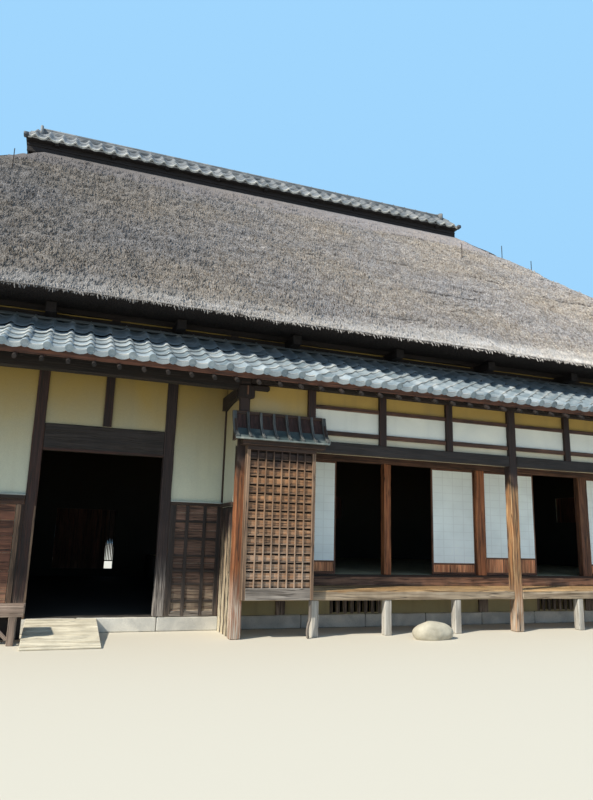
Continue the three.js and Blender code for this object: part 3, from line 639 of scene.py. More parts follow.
BOULDER = StoneFinish("boulder", (0.56, 0.52, 0.42), (0.36, 0.33, 0.26), 5.0, 0.4)
ROOF_TILE = TileFinish("roof tile", (0.13, 0.175, 0.205), (0.31, 0.37, 0.41), (0.50, 0.525, 0.54), 0.4)
ROLL_END = TileFinish("roll end", (0.14, 0.19, 0.23), (0.30, 0.37, 0.42), (0.50, 0.55, 0.58), 0.5)
LEDGE = TileFinish("ledge", (0.25, 0.28, 0.27), (0.42, 0.48, 0.46), (0.55, 0.60, 0.56), 0.2)
RIDGE_TRIM = TileFinish("ridge trim", (0.030, 0.035, 0.042), (0.075, 0.085, 0.10), (0.16, 0.17, 0.19), 0.3)
# Pale lips of the sunlit tile courses and of the ridge's lower course: a painted highlight where the sun catches them
TILE_LIP_HIGHLIGHT = TileFinish("tile lip", (0.22, 0.24, 0.245), (0.52, 0.52, 0.49), (0.68, 0.655, 0.59), 0.5, (0.25, 0.4))
EAVE_TILE = TileFinish("eave tile", (0.26, 0.31, 0.345), (0.38, 0.43, 0.46), (0.52, 0.54, 0.53), 0.5, (0.35, 0.55))
# Flashing tiles under the thatch, far darker than the roof tiles: painted shade of the thatch's eave
WALL_TILE = TileFinish("wall tile", (0.030, 0.038, 0.042), (0.070, 0.083, 0.088), (0.13, 0.14, 0.14), 0.3)
RIDGE_TILE = TileFinish("ridge tile", (0.085, 0.095, 0.105), (0.19, 0.205, 0.22), (0.34, 0.345, 0.345), 0.6)
PAN_TILE = TileFinish("pan sheet", (0.043, 0.068, 0.074), (0.086, 0.116, 0.122), (0.21, 0.24, 0.23))
PAN_LIP = TileFinish("pan lip", (0.12, 0.15, 0.15), (0.30, 0.32, 0.30), (0.48, 0.49, 0.43), 0.4)
THATCH = ThatchFinish("reed thatch")
PAPER = PaperFinish("panel paper")


# Work at the bench: making, shaping and joining pieces


def pick_nothing() -> None:
    """Leaves no object selected."""
    bpy.ops.object.select_all(action="DESELECT")


def pick(pieces: Iterable[Piece]) -> None:
    """Selects pieces, and makes the first one active."""
    pick_nothing()
    for index, piece in enumerate(pieces):
        piece.select_set(True)
        if index == 0:
            bpy.context.view_layer.objects.active = piece


def edit(piece: Piece) -> None:
    """Opens one piece in edit mode."""
    pick([piece])
    bpy.ops.object.mode_set(mode="EDIT")


def leave() -> None:
    """Goes back to object mode."""
    bpy.ops.object.mode_set(mode="OBJECT")


def pick_all() -> None:
    """Selects the whole mesh, in edit mode."""
    bpy.ops.mesh.select_all(action="SELECT")


def pick_kind(piece: Piece, kind: str, test: Callable[[object], bool]) -> None:
    """Selects the edges or the faces that pass a test, in edit mode."""
    bpy.ops.mesh.select_mode(type=kind)
    bpy.ops.mesh.select_all(action="DESELECT")
    shape = bmesh.from_edit_mesh(piece.data)
    for item in shape.edges if kind == "EDGE" else shape.faces:
        if test(item):
            item.select_set(True)
    shape.select_flush_mode()
    bmesh.update_edit_mesh(piece.data)


def pick_edges(piece: Piece, test: Test) -> None:
    """Selects the edges whose two ends pass a test, in edit mode."""
    pick_kind(piece, "EDGE", lambda edge: test(edge.verts[0].co, edge.verts[1].co))


def pick_faces(piece: Piece, test: Test) -> None:
    """Selects the faces whose middle and normal pass a test, in edit mode."""
    pick_kind(piece, "FACE", lambda face: test(face.calc_center_median(), face.normal))


def push(x: float = 0.0, y: float = 0.0, z: float = 0.0) -> None:
    """Extrudes what is selected, in edit mode."""
    bpy.ops.mesh.extrude_region_move(TRANSFORM_OT_translate={"value": (x, y, z)})


def repaint(piece: Piece, test: Test) -> None:
    """Gives the faces that pass a test the second finish of a piece, in edit mode."""
    pick_faces(piece, test)
    piece.active_material_index = 1
    bpy.ops.object.material_slot_assign()


def dress(piece: Piece, *finishes: Finish) -> None:
    """Adds finishes to a piece."""
    for finish in finishes:
        piece.data.materials.append(finish.material())


def write(piece: Piece, name: str, kind: str, values: np.ndarray) -> None:
    """Stores a value or vector at each point of a mesh."""
    layer = piece.data.attributes.get(name) or piece.data.attributes.new(name, kind, "POINT")
    layer.data.foreach_set("value" if kind == "FLOAT" else "vector", values.astype(np.float32).ravel())


def points(piece: Piece) -> np.ndarray:
    """The points of a mesh."""
    found = np.zeros(len(piece.data.vertices) * 3, np.float32)
    piece.data.vertices.foreach_get("co", found)
    return found.reshape(-1, 3)


def place_points(piece: Piece, co: np.ndarray) -> None:
    """Moves the points of a mesh."""
    piece.data.vertices.foreach_set("co", co.astype(np.float32).ravel())


def started(add: Callable[..., object], scale: Corner = (1, 1, 1), **settings: object) -> Piece:
    """Adds a primitive by itself, and takes its place, size and turn into its mesh."""
    pick_nothing()
    add(**settings)
    piece = bpy.context.object
    piece.scale = scale
    bpy.ops.object.transform_apply(location=True, rotation=True, scale=True)
    return piece


def merged(parts: Sequence[Piece]) -> Piece:
    """Joins parts to one piece, which is then the active one."""
    pick(parts)
    if len(parts) > 1:
        bpy.ops.object.join()
    return bpy.context.view_layer.objects.active


def tapered(piece: Piece, way: int, size: Corner, centre: Corner) -> Piece:
    """Narrows the top of a piece, or its bottom where way is -1, about a centre."""
    edit(piece)
    pick_faces(piece, lambda place, normal: normal.z * way > 0.9)
    bpy.ops.transform.resize(value=size, center_override=centre)
    leave()
    return piece


def tone(piece: Piece) -> None:
    """Gives a piece a tone of its own."""
    write(piece, "tone", "FLOAT", np.full(len(piece.data.vertices), DICE.random()))


def mark_grain(piece: Piece, low: Corner, high: Corner, grain: Grain) -> None:
    """Stores where each point lies in its timber, along the grain first."""
    order = list(grain.value)
    middle = (np.array(low) + np.array(high)) / 2
    half = (np.array(high) - np.array(low)) / 2
    write(piece, "grain", "FLOAT_VECTOR", (points(piece) - middle)[:, order])
    write(piece, "half", "FLOAT_VECTOR", np.tile(half[order], (len(piece.data.vertices), 1)))
    tone(piece)


def saw(low: Corner, high: Corner, finish: Finish, grain: Grain = Grain.ALONG_X, ease: float = 0.004,
        cuts: int = 0, wobble: float = 0.0) -> Piece:
    """Saws one timber or board, and rounds its edges over.

    Args:
        low: Its lowest corner.
        high: Its highest corner.
        finish: What it is dressed with.
        grain: Which way its fibres run.
        ease: Width of the rounded edge.
        cuts: Cuts along its length, for a timber that is worked further.
        wobble: How far its points stray.

    Returns:
        The timber.
    """
    size = [b - a for a, b in zip(low, high)]
    middle = [(a + b) / 2 for a, b in zip(low, high)]
    piece = started(bpy.ops.mesh.primitive_cube_add, size=1, location=middle, scale=size)
    bpy.ops.object.mode_set(mode="EDIT")
    if ease:
        bpy.ops.mesh.bevel(offset=min(ease, min(size) * 0.3), segments=1, affect="EDGES")
    if cuts:
        axis = grain.value[0]
        reach = size[axis] * 0.5
        pick_edges(piece, lambda a, b: abs(a[axis] - b[axis]) > reach)
        bpy.ops.mesh.subdivide(number_cuts=cuts)
    if wobble:
        pick_all()
        bpy.ops.transform.vertex_random(offset=wobble, uniform=0.6, normal=0.0, seed=DICE.randrange(999))
    leave()
    mark_grain(piece, low, high, grain)
    dress(piece, finish)
    return piece


def grid(across: int, along: int, size: tuple[float, float], middle: Corner = (0, 0, 0), tilt: float = 0.0) -> Piece:
    """Adds a flat grid.

    Args:
        across: Cells along X.
        along: Cells along Y.
        size: Its size along X and Y.
        middle: Where its middle lies.
        tilt: Turn round X, in radians.

    Returns:
        The grid.
    """
    return started(bpy.ops.mesh.primitive_grid_add, x_subdivisions=across, y_subdivisions=along, size=1,
                   location=middle, rotation=(tilt, 0, 0), scale=(*size, 1))


def copied(source: Piece, place: Matrix, own_tone: bool = True) -> Piece:
    """Copies a piece to another place, with its own mesh and tone."""
    piece = source.copy()
    piece.data = source.data.copy()
    bpy.context.scene.collection.objects.link(piece)
    piece.data.transform(place)
    if own_tone:
        tone(piece)
    return piece


def drop(*patterns: Piece) -> None:
    """Removes pattern pieces that have been copied."""
    for piece in patterns:
        bpy.data.objects.remove(piece)


def moved(x: float = 0.0, y: float = 0.0, z: float = 0.0) -> Matrix:
    """A move."""
    return Matrix.Translation((x, y, z))


def turned(degrees: float, axis: str) -> Matrix:
    """A turn round an axis through the origin."""
    return Matrix.Rotation(math.radians(degrees), 4, axis)


def join(name: str, parts: Sequence[Piece], body: str = "house", replaces: Sequence[str] = (),
         side: Side = Side.FRONT, smooth: float | None = None) -> Piece:
    """Joins parts to one named piece that rides on a body.

    Args:
        name: Name of the piece.
        parts: What it is made of.
        body: CAD body it moves with.
        replaces: CAD nodes it stands for.
        side: Side of the house that it is turned to.
        smooth: Largest angle in degrees that is shaded smooth.

    Returns:
        The piece.
    """
    piece = merged(parts)
    piece.name = name
    piece.data.name = name
    if side is not Side.FRONT:
        piece.data.transform(turned(side.value, "Z"))
    place_points(piece, np.clip(points(piece), *CAD_BOX))
    if smooth is not None:
        bpy.ops.object.shade_smooth_by_angle(angle=math.radians(smooth))
    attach(piece, body)
    if replaces:
        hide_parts(*replaces)
    LOG.info("%s: %d faces", name, len(piece.data.polygons))
    return piece


def displace(piece: Piece, size: float, strength: float, axis: str = "NORMAL", group: str = "",
             depth: int = 2) -> None:
    """Pushes the points of a piece about by procedural clouds, and applies it."""
    texture = bpy.data.textures.new("relief", "CLOUDS")
    texture.noise_scale = size
    texture.noise_depth = depth
    pick([piece])
    relief = piece.modifiers.new("relief", "DISPLACE")
    relief.texture = texture
    relief.texture_coords = "LOCAL"
    relief.direction = axis
    relief.strength = strength
    relief.mid_level = 0.5
    if group:
        relief.vertex_group = group
    bpy.ops.object.modifier_apply(modifier=relief.name)


def cut_hips(piece: Piece, edge: float, half: float, fill: bool = False) -> None:
    """Cuts a slope that is built at the front along both of its hips.

    Args:
        piece: The slope.
        edge: How far its eave stands from the middle of the house.
        half: Half the length of its eave.
        fill: Whether the cuts are closed.
    """
    edit(piece)
    for way in (1, -1):
        pick_all()
        bpy.ops.mesh.bisect(plane_co=(way * (half - edge), 0, 0), plane_no=(way, 1, 0), use_fill=fill,
                            clear_outer=True)
    leave()


def rows(start: float, end: float, pitch: float) -> list[float]:
    """Evenly spaced places from start to end, about a pitch apart."""
    count = max(1, round((end - start) / pitch))
    return [start + (end - start) * (index + 0.5) / count for index in range(count)]


def shares(start: float, end: float, pitch: float) -> list[tuple[float, float]]:
    """Even shares of a length, each about a pitch wide, as start and end."""
    places = rows(start, end, pitch)
    half = (end - start) / len(places) / 2
    return [(place - half, place + half) for place in places]


@dataclass
class Thatch:
    """The four thatched slopes with their ragged lips, rods and the timbers under the eaves."""

    slope: float = 0.96
    lip: float = 4.4
    edge: tuple[float, float] = (10.247, 5.601)
    ridge_half: float = 0.5
    soffit: tuple[float, float] = (0.97, 0.05)
    arm_foot: float = 4.30
    rods: tuple[Corner, ...] = ((-5.59, -1.77, 0.52), (4.44, -1.77, 0.44), (5.98, -1.30, 0.47), (6.53, -1.72, 0.50))

    @property
    def angle(self) -> float:
        """The pitch of the slopes, in radians."""
        return math.atan(self.slope)

    def build(self) -> None:
        """Builds every slope."""
        x, y = self.edge
        # Distance and half length of the eave, size of a cell and straws in a patch
        sizes = {Side.FRONT: (y, x, 0.05, 95), Side.BACK: (y, x, 0.1, 40),
                 Side.LEFT: (x, y, 0.08, 60), Side.RIGHT: (x, y, 0.08, 60)}
        for side, (edge, half, cell, straws) in sizes.items():
            self._slope(side, edge, half, cell)
            self._straw(side, edge, half, straws)
        self._rods()
        self._brackets()

    def _mark(self, piece: Piece, edge: float) -> None:
        """Stores how far along the eave and up the slope each point lies."""
        co = points(piece)
        run, rise = co[:, 1] + edge, co[:, 2] - self.lip
        up = run * math.cos(self.angle) + rise * math.sin(self.angle)
        out = rise * math.cos(self.angle) - run * math.sin(self.angle)
        write(piece, "lie", "FLOAT_VECTOR", np.stack([co[:, 0], up, out], 1))

    def _relief(self, piece: Piece, edge: float) -> None:
        """Raises clumps and hollows that meet at the hips."""
        co = points(piece)
        group = piece.vertex_groups.new(name="outer")
        up = (co[:, 1] + edge) / math.cos(self.angle)
        depth = co[:, 2] - self.lip - (co[:, 1] + edge) * self.slope
        top = (edge - self.ridge_half) / math.cos(self.angle)
        weight = np.clip((depth + 0.35) / 0.3, 0, 1) * np.clip((top - up) / 0.7, 0.0, 1)
        weight = np.where(up > top, 0.0, weight) * np.clip(0.35 + up / 0.6, 0, 1)
        levels = np.round(weight * 20) / 20
        for level in np.unique(levels):
            group.add(np.nonzero(levels == level)[0].tolist(), float(level), "REPLACE")
        displace(piece, 1.3, 0.12, "Z", "outer", 1)
        displace(piece, 0.24, 0.075, "Z", "outer", 1)

    def _slope(self, side: Side, edge: float, half: float, cell: float) -> None:
        """Builds one slope as a closed form, from its outer face round the lip to its inner face."""
        start, end = 0.05, min(self.edge) - self.ridge_half
        length = (end - start) / math.cos(self.angle)
        middle = (start + end) / 2
        piece = grid(round(2 * half / cell), round(length / cell), (2 * half, length),
                     (0, -edge + middle, self.lip + self.slope * middle), self.angle)
        run, rise = self.soffit
        inner = min(self.edge) - 0.0003
        steps = [(-0.030, -0.016), (0.006, -0.018), (0.086, 0.020), (run - start - 0.062, rise + 0.01),
                 (inner - run, self.slope * (inner - run)), (0.0, self.slope * (run - self.ridge_half) - rise)]
        bpy.ops.object.mode_set(mode="EDIT")
        low = -edge + start + 1e-3
        pick_edges(piece, lambda a, b: a.y < low and b.y < low)
        for across, lift in steps:
            push(0, across, lift)
        pick_all()
        leave()
        cut_hips(piece, edge, half, True)
        edit(piece)
        pick_all()
        bpy.ops.mesh.normals_make_consistent(inside=False)
        leave()
        self._mark(piece, edge)
        co = points(piece)
        line = self.lip + self.slope * (co[:, 1] + edge)
        write(piece, "under", "FLOAT", (co[:, 2] < line - 0.005).astype(float))
        self._relief(piece, edge)
        dress(piece, THATCH)
        name = side.name.lower()
        join(f"thatch_{name}_reed", [piece], replaces=[f"thatch_{name}"], side=side, smooth=80)

    def _straw(self, side: Side, edge: float, half: float, count: int) -> None:
        """Scatters straw tips over a slope and along its lip, in patches that are copied."""
        patches = [self._patch(count, seed) for seed in range(3)]
        fringe = self._fringe()
        parts = []
        length = (min(self.edge) - self.ridge_half) / math.cos(self.angle)
        for up in rows(0.1, length - 0.35, 0.52):
            run = up * math.cos(self.angle)
            reach = half - run - 0.25
            if reach < 0.5:
                continue
            for along in rows(-reach, reach, 1.04):
                place = moved(along + DICE.uniform(-0.1, 0.1), -edge + run, self.lip + run * self.slope)
                way = 0 if DICE.random() < 0.5 else 180
                place = place @ turned(math.degrees(self.angle), "X") @ turned(way, "Y")
                patch = DICE.choice(patches)
                flat = Matrix.Diagonal((1, 1, -1 if way else 1, 1))
                parts.append(copied(patch, place @ flat, False))
        for along in rows(-half + 0.05, half - 0.05, 1.0):
            parts.append(copied(fringe, moved(along, -edge + 0.006, self.lip + 0.012), False))
        drop(*patches, fringe)
        piece = merged(parts)
        self._mark(piece, edge)
        write(piece, "under", "FLOAT", np.zeros(len(piece.data.vertices)))
        self._relief(piece, edge)
        join(f"thatch_{side.name.lower()}_straw", [piece], side=side)

    @staticmethod
    def _tip(foot: float, point: float, long: float) -> Piece:
        """One straw tip, as thick as its foot and its point say."""
        tip = started(bpy.ops.mesh.primitive_cone_add, vertices=3, radius1=foot, radius2=point, depth=long,
                      end_fill_type="NOTHING", rotation=(math.radians(90), 0, 0))
        dress(tip, THATCH)
        return tip

    def _patch(self, count: int, seed: int) -> Piece:
        """A patch of loose straw tips that lie down the slope, a metre wide and half a metre long."""
        dice = random.Random(seed)
        straws = []
        tip = self._tip(0.009, 0.002, 0.13)
        for _ in range(count):
            place = moved(dice.uniform(-0.52, 0.52), dice.uniform(-0.28, 0.28), dice.uniform(0.004, 0.02))
            lean = turned(dice.uniform(-24, 24), "Z") @ turned(dice.uniform(4, 22), "X")
            size = Matrix.Diagonal((dice.uniform(0.7, 1.4), dice.uniform(0.5, 1.25), 1, 1))
            straws.append(copied(tip, place @ lean @ size, False))
        drop(tip)
        return merged(straws)

    def _fringe(self) -> Piece:
        """A metre of straw ends that hang over the lip."""
        dice = random.Random(7)
        straws = []
        tip = self._tip(0.011, 0.003, 0.095)
        for index in range(130):
            along = -0.5 + (index + dice.random()) / 130
            up = dice.uniform(0.01, 0.09)
            place = moved(along, up, up * self.slope - dice.uniform(0.0, 0.035))
            lean = turned(math.degrees(self.angle) + dice.uniform(-14, 30), "X") @ turned(dice.uniform(-14, 14), "Z")
            straws.append(copied(tip, place @ lean @ Matrix.Scale(dice.uniform(0.6, 1.25), 4), False))
        drop(tip)
        return merged(straws)

    def _rods(self) -> None:
        """Thin bird rods that stand in the thatch."""
        parts = []
        for x, y, tall in self.rods:
            z = self.lip + self.slope * (min(self.edge[1] + y, self.edge[0] - abs(x))) - 0.1
            rod = saw((x - 0.008, y - 0.008, z), (x + 0.008, y + 0.008, z + tall), DARK_TIMBER, Grain.ALONG_Z, 0.003)
            parts.append(rod)
        join("bird_rods", parts)

    def _brackets(self) -> None:
        """Dark bracket arms that carry the eave of the thatch, on all sides."""
        parts = []
        for side, half in ((Side.FRONT, 10.0), (Side.BACK, 10.0), (Side.LEFT, 5.4), (Side.RIGHT, 5.4)):
            wall = WALL_Y if half > 6 else -WALL_X
            places = [DOOR_X + index * KEN for index in range(-2, 8)] if half > 6 else [-2.7, -0.9, 0.9, 2.7]
            for x in places:
                if abs(x) < half - 1:
                    arm = saw((x - 0.07, wall - 0.42, self.arm_foot), (x + 0.07, wall + 0.04, 4.445), SOOT_AND_SHADE_TIMBER,
                              Grain.ALONG_Y, 0.006)
                    arm.data.transform(turned(side.value, "Z"))
                    parts.append(arm)
            span = half - 0.85
            for low, high in ((self.arm_foot, 4.405), (4.438, 4.55)):
                plate = saw((-span, wall - 0.02, low), (span, wall + 0.03, high), SOOT_AND_SHADE_TIMBER, Grain.ALONG_X, 0.006,
                            int(span * 4), 0.010)
                plate.data.transform(turned(side.value, "Z"))
                parts.append(plate)
        join("eave_brackets", parts)


@dataclass
class Ridge:
    """The boarded ridge box and the tiled cap over it."""

    ends: tuple[float, float] = (-5.51, 5.12)
    half: float = 0.5
    bottom: float = 9.297
    top: float = 9.5
    cap_half: float = 0.65
    apex: float = 9.99
    pitch: float = 0.27

    def build(self) -> None:
        """Builds the box and the cap."""
        self._box()
        self._cap()

    def _box(self) -> None:
        """Long boards, with battens over their joints, on every side of the box."""
        parts = []
        start, end = self.ends
        for way in (-1, 1):
            for low, high, inset in ((self.bottom - 0.03, 9.385, 0.012), (9.392, 9.44, 0.0), (9.446, self.top, 0.02)):
                face = self.half - inset
                ys = sorted((way * face, way * (face - 0.04)))
                parts.append(saw((start, ys[0], low), (end, ys[1], high), RIDGE_BOARD))
        for x in self.ends:
            xs = (x, x + 0.04) if x < 0 else (x - 0.04, x)
            parts.append(saw((xs[0], -self.half + 0.05, self.bottom), (xs[1], self.half - 0.05, self.top),
                             RIDGE_BOARD, Grain.ALONG_Y))
        parts.append(saw((start - 0.03, -self.cap_half + 0.05, self.top - 0.012),
                         (end + 0.03, self.cap_half - 0.05, self.top + 0.012), RIDGE_BOARD))
        for x in self.ends:
            gable = saw((x - 0.02, -self.cap_half + 0.06, self.top + 0.01), (x + 0.02, self.cap_half - 0.06, 9.95),
                        RIDGE_BOARD, Grain.ALONG_Y, 0.0)
            parts.append(tapered(gable, 1, (1, 0.06, 1), (x, 0, 9.95)))
        for x in rows(start, end, 1.2):
            parts.append(saw((x - 0.04, -self.half - 0.09, self.top - 0.05), (x + 0.04, self.half + 0.09, self.top),
                             RIDGE_BOARD, Grain.ALONG_Y))
        join("ridge_box_boards", parts, replaces=["ridge_box"])

    def _cap(self) -> None:
        """Rolls and pans on both sides, three flat courses, and round tiles along the top."""
        start, end = self.ends[0] - 0.05, self.ends[1] + 0.05
        rise = self.apex - 0.02 - (self.top + 0.045)
        angle = math.degrees(math.atan2(rise, self.cap_half - 0.1))
        length = math.hypot(rise, self.cap_half - 0.1)
        # The lower course's lips get the painted highlight
        rolls = [self._roll(length * 0.53, lip) for lip in (TILE_LIP_HIGHLIGHT, RIDGE_TILE)]
        parts = []
        for x in rows(start + 0.06, end - 0.06, self.pitch):
            for way in (0, 180):
                place = turned(way, "Z") @ moved(0, -self.cap_half, self.top + 0.045) @ turned(angle, "X")
                for course, roll in enumerate(rolls):
                    parts.append(copied(roll, moved(x) @ place @ moved(0, course * length * 0.47, course * 0.02)))
        drop(*rolls)
        for way in (-1, 1):
            deck = saw((start, 0, -0.03), (end, length, 0.0), RIDGE_TILE, ease=0.003)
            deck.data.transform(turned(0 if way < 0 else 180, "Z")
                                @ moved(0, -self.cap_half + 0.02, self.top + 0.03) @ turned(angle, "X"))
            parts.append(deck)
        for level, (half, low) in enumerate(((0.17, 9.93), (0.145, 9.985), (0.12, 10.04))):
            inset = 0.24 + 0.03 * level
            parts.append(saw((start + inset, -half, low), (end - inset, half, low + 0.045), RIDGE_TILE, ease=0.008,
                             cuts=40, wobble=0.003))
        cover = self._cover()
        for x in rows(start + 0.3, end - 0.3, 0.34):
            parts.append(copied(cover, moved(x, 0, 10.075)))
        drop(cover)
        for x in (start + 0.02, end - 0.02):
            parts.extend(self._end_ornament(x, x - math.copysign(0.26, x)))
        join("ridge_cap_tiles", parts, replaces=["ridge_cap"], smooth=50)

    def _roll(self, length: float, lip: Finish) -> Piece:
        """One roll tile with the pan beside it and its lip."""
        piece = grid(10, 2, (self.pitch + 0.01, length), (0, length / 2, 0))
        co = points(piece)
        share = co[:, 0] / self.pitch
        co[:, 2] = np.where(np.abs(share) < 0.22, 0.050 * np.cos(share / 0.22 * math.pi / 2),
                            -0.016 * np.sin((np.abs(share) - 0.22) / 0.28 * math.pi / 2))
        place_points(piece, co)
        dress(piece, RIDGE_TILE, lip)
        edit(piece)
        pick_edges(piece, lambda a, b: a.y < 1e-4 and b.y < 1e-4)
        push(0, -0.015, -0.012)
        push(0, 0.0, -0.036)
        repaint(piece, lambda place, normal: place.y < 0)
        leave()
        return piece

    def _cover(self) -> Piece:
        """One round cover tile of the top course, with the bead at its end."""
        piece = started(bpy.ops.mesh.primitive_cylinder_add, vertices=12, radius=0.075, depth=0.33,
                        rotation=(0, math.radians(90), 0))
        edit(piece)
        pick_all()
        bpy.ops.mesh.bisect(plane_co=(0, 0, -0.01), plane_no=(0, 0, -1), clear_outer=True, use_fill=True)
        pick_faces(piece, lambda place, normal: normal.x > 0.9)
        push(0.004, 0, 0)
        bpy.ops.transform.resize(value=(1, 1.2, 1.2), center_override=(0.16, 0, 0))
        leave()
        dress(piece, RIDGE_TILE)
        tone(piece)
        return piece

    def _end_ornament(self, x: float, back: float) -> list[Piece]:
        """The upright tile at an end of the ridge, and the two blocks at the corners under it."""
        plate = saw((back - 0.03, -0.26, 9.86), (back + 0.03, 0.26, 10.08), RIDGE_TILE, ease=0.02)
        edit(plate)
        pick_faces(plate, lambda place, normal: normal.z > 0.9)
        push(0, 0, 0.05)
        bpy.ops.transform.resize(value=(1, 0.5, 1), center_override=(back, 0, 10.1))
        leave()
        parts = [plate]
        for y in (-0.62, 0.62):
            parts.append(saw((x - 0.05, y - 0.07, self.top), (x + 0.05, y + 0.07, self.top + 0.085), RIDGE_TRIM,
                             ease=0.015))
        return parts


@dataclass
class PentRoof:
    """The tiled pent roof round the house, with its rafters, boards, hips and flashing."""

    slope: float = 0.5376
    top_edge: float = 3.53
    past: float = 0.626
    run: float = 1.5347
    width: float = 0.251
    overlap: float = 0.022
    exposure: float = 0.235
    rafter_pitch: float = 0.303
    rafter_from: float = DOOR_X
    rafter_end: float = 0.17
    rafter_drop: float = 0.185
    deck: tuple[float, float] = (-0.165, -0.130)
    eave_board: tuple[float, float] = (-0.163, -0.060)

    @property
    def reach(self) -> float:
        """Length of the slope from the eave to the wall."""
        return self.run / math.cos(math.atan(self.slope))

    def build(self) -> None:
        """Builds the four sides and the hips."""
        for side in Side:
            deep = side in (Side.FRONT, Side.BACK)
            edge = (-OUTER_Y if deep else OUTER_X) + self.past
            half = (OUTER_X if deep else -OUTER_Y) + self.past
            self._side(side, edge, half)
        self._hips()

    def _plane(self, edge: float) -> Matrix:
        """The frame of a slope: Y runs up the tiles from the eave, Z stands off them."""
        return moved(0, -edge, self.top_edge) @ turned(math.degrees(math.atan(self.slope)), "X")

    def _tile(self, step: float, lip: float) -> Piece:
        """One pantile, with the step over the tile below it and a lip, painted cream as a highlight on the sunlit
        courses where it catches the sun.
        """
        long, wide = self.exposure + 0.05, self.width + self.overlap
        piece = grid(10, 1, (wide, long), (0, long / 2, 0))
        co = points(piece)
        share = self._share(co)
        co[:, 0] = (share - 0.5) * wide
        co[:, 2] = self._wave(share) - 0.006 - np.where(co[:, 1] > 0.01, step, 0.0)
        place_points(piece, co)
        dress(piece, ROOF_TILE, TILE_LIP_HIGHLIGHT)
        edit(piece)
        pick_edges(piece, lambda a, b: a.y < 1e-4 and b.y < 1e-4)
        for out, down in ((-0.004, -0.001), (-0.003, -0.003), (-0.001, -0.005), (0.001, -0.010)):
            push(0, out * lip, down * lip)
        # Only the sunlit courses get the painted highlight on their lips
        if lip == 1:
            repaint(piece, lambda place, normal: place.y < 0)
        leave()
        return piece

    def _share(self, co: np.ndarray) -> np.ndarray:
        """How far across a tile each point lies, with most points on the roll."""
        even = np.clip(co[:, 0] / (self.width + self.overlap) + 0.5, 0, 1)
        return np.interp(even, np.linspace(0, 1, 11), (0, 0.17, 0.36, 0.53, 0.66, 0.72, 0.77, 0.83, 0.89, 0.95, 1.0))

    @staticmethod
    def _wave(share: np.ndarray) -> np.ndarray:
        """Height of a tile across its pan and its narrow roll."""
        pan = -0.022 * np.sin(np.clip(share / 0.70, 0, 1) * math.pi)
        return pan + 0.030 * np.sin(np.clip((share - 0.68) / 0.32, 0, 1) * math.pi)

    def _eave_tile(self) -> Piece:
        """What hangs at the front of an eave tile: a drooping pan lip and the round end of the roll."""
        lip = grid(10, 2, (self.width + self.overlap, 0.052))
        co = points(lip)
        share = self._share(co)
        down = 0.026 - co[:, 1]
        co = np.stack([(share - 0.5) * (self.width + 0.02), -0.018 - down * 0.12,
                       self._wave(share) * 1.15 - 0.014 - down], 1)
        place_points(lip, co)
        edit(lip)
        pick_all()
        push(0, -0.014, 0)
        leave()
        bead = started(bpy.ops.mesh.primitive_cylinder_add, vertices=12, radius=0.052, depth=0.05,
                       location=(self.width * 0.365, -0.020, -0.024), rotation=(math.radians(90), 0, 0))
        edit(bead)
        pick_faces(bead, lambda place, normal: normal.y < -0.9)
        bpy.ops.mesh.inset(thickness=0.010)
        push(0, 0.007, 0)
        leave()
        dress(lip, EAVE_TILE)
        dress(bead, ROLL_END)
        return merged([lip, bead])

    def _spread(self, tile: Piece, half: float, courses: int, first: int = 0) -> None:
        """Repeats a tile along the eave and up the slope, and gives each its own tone."""
        count = len(tile.data.vertices)
        columns = round(2 * half / self.width)
        step = 2 * half / columns
        pick([tile])
        for name, number, offset in (("along", columns, (step, 0, 0)), ("up", courses, (0, self.exposure, 0))):
            array = tile.modifiers.new(name, "ARRAY")
            array.use_relative_offset = False
            array.use_constant_offset = True
            array.count = number
            array.constant_offset_displace = offset
            bpy.ops.object.modifier_apply(modifier=name)
        tile.data.transform(moved(-half + step / 2, first * self.exposure))
        dice = np.random.default_rng(int(half * 100) + first)
        made = len(tile.data.vertices) // count
        write(tile, "tone", "FLOAT", np.repeat(np.clip(dice.normal(0.45, 0.28, made), 0, 1), count))
        co = points(tile)
        co[:, 2] += np.repeat(dice.normal(0, 0.0025, made), count)
        co[:, 1] += np.repeat(dice.normal(0, 0.003, made), count)
        place_points(tile, co)

    def _side(self, side: Side, edge: float, half: float) -> None:
        """Builds the tiles, boards, rafters and flashing of one side."""
        name = side.name.lower()
        plane = self._plane(edge)
        tiles = self._tile(0.03, 1)
        self._spread(tiles, half, 4)
        # The upper courses, in the thatch's shadow, get flat lips and no painted highlight
        shaded = self._tile(0.006, 0.2)
        self._spread(shaded, half, 3, 4)
        ends = self._eave_tile()
        self._spread(ends, half, 1)
        tiles = merged([tiles, shaded, ends])
        tiles.data.transform(plane @ moved(0, 0.066, -0.006))
        cut_hips(tiles, edge, half)
        join(f"pent_tiles_{name}", [tiles], replaces=[f"pent_roof_{name}"], side=side, smooth=40)
        low, high = self.deck
        deck = saw((-half, 0.07, low), (half, self.reach - 0.01, high), DARK_TIMBER, ease=0.0)
        low, high = self.eave_board
        boards = merged([deck, saw((-half, 0.055, low), (half, 0.095, high), EAVE_BOARD)])
        boards.data.transform(plane)
        cut_hips(boards, edge, half)
        join(f"pent_boards_{name}", [boards], side=side)
        self._rafters(side, half, plane)
        self._flashing(side, edge, half)

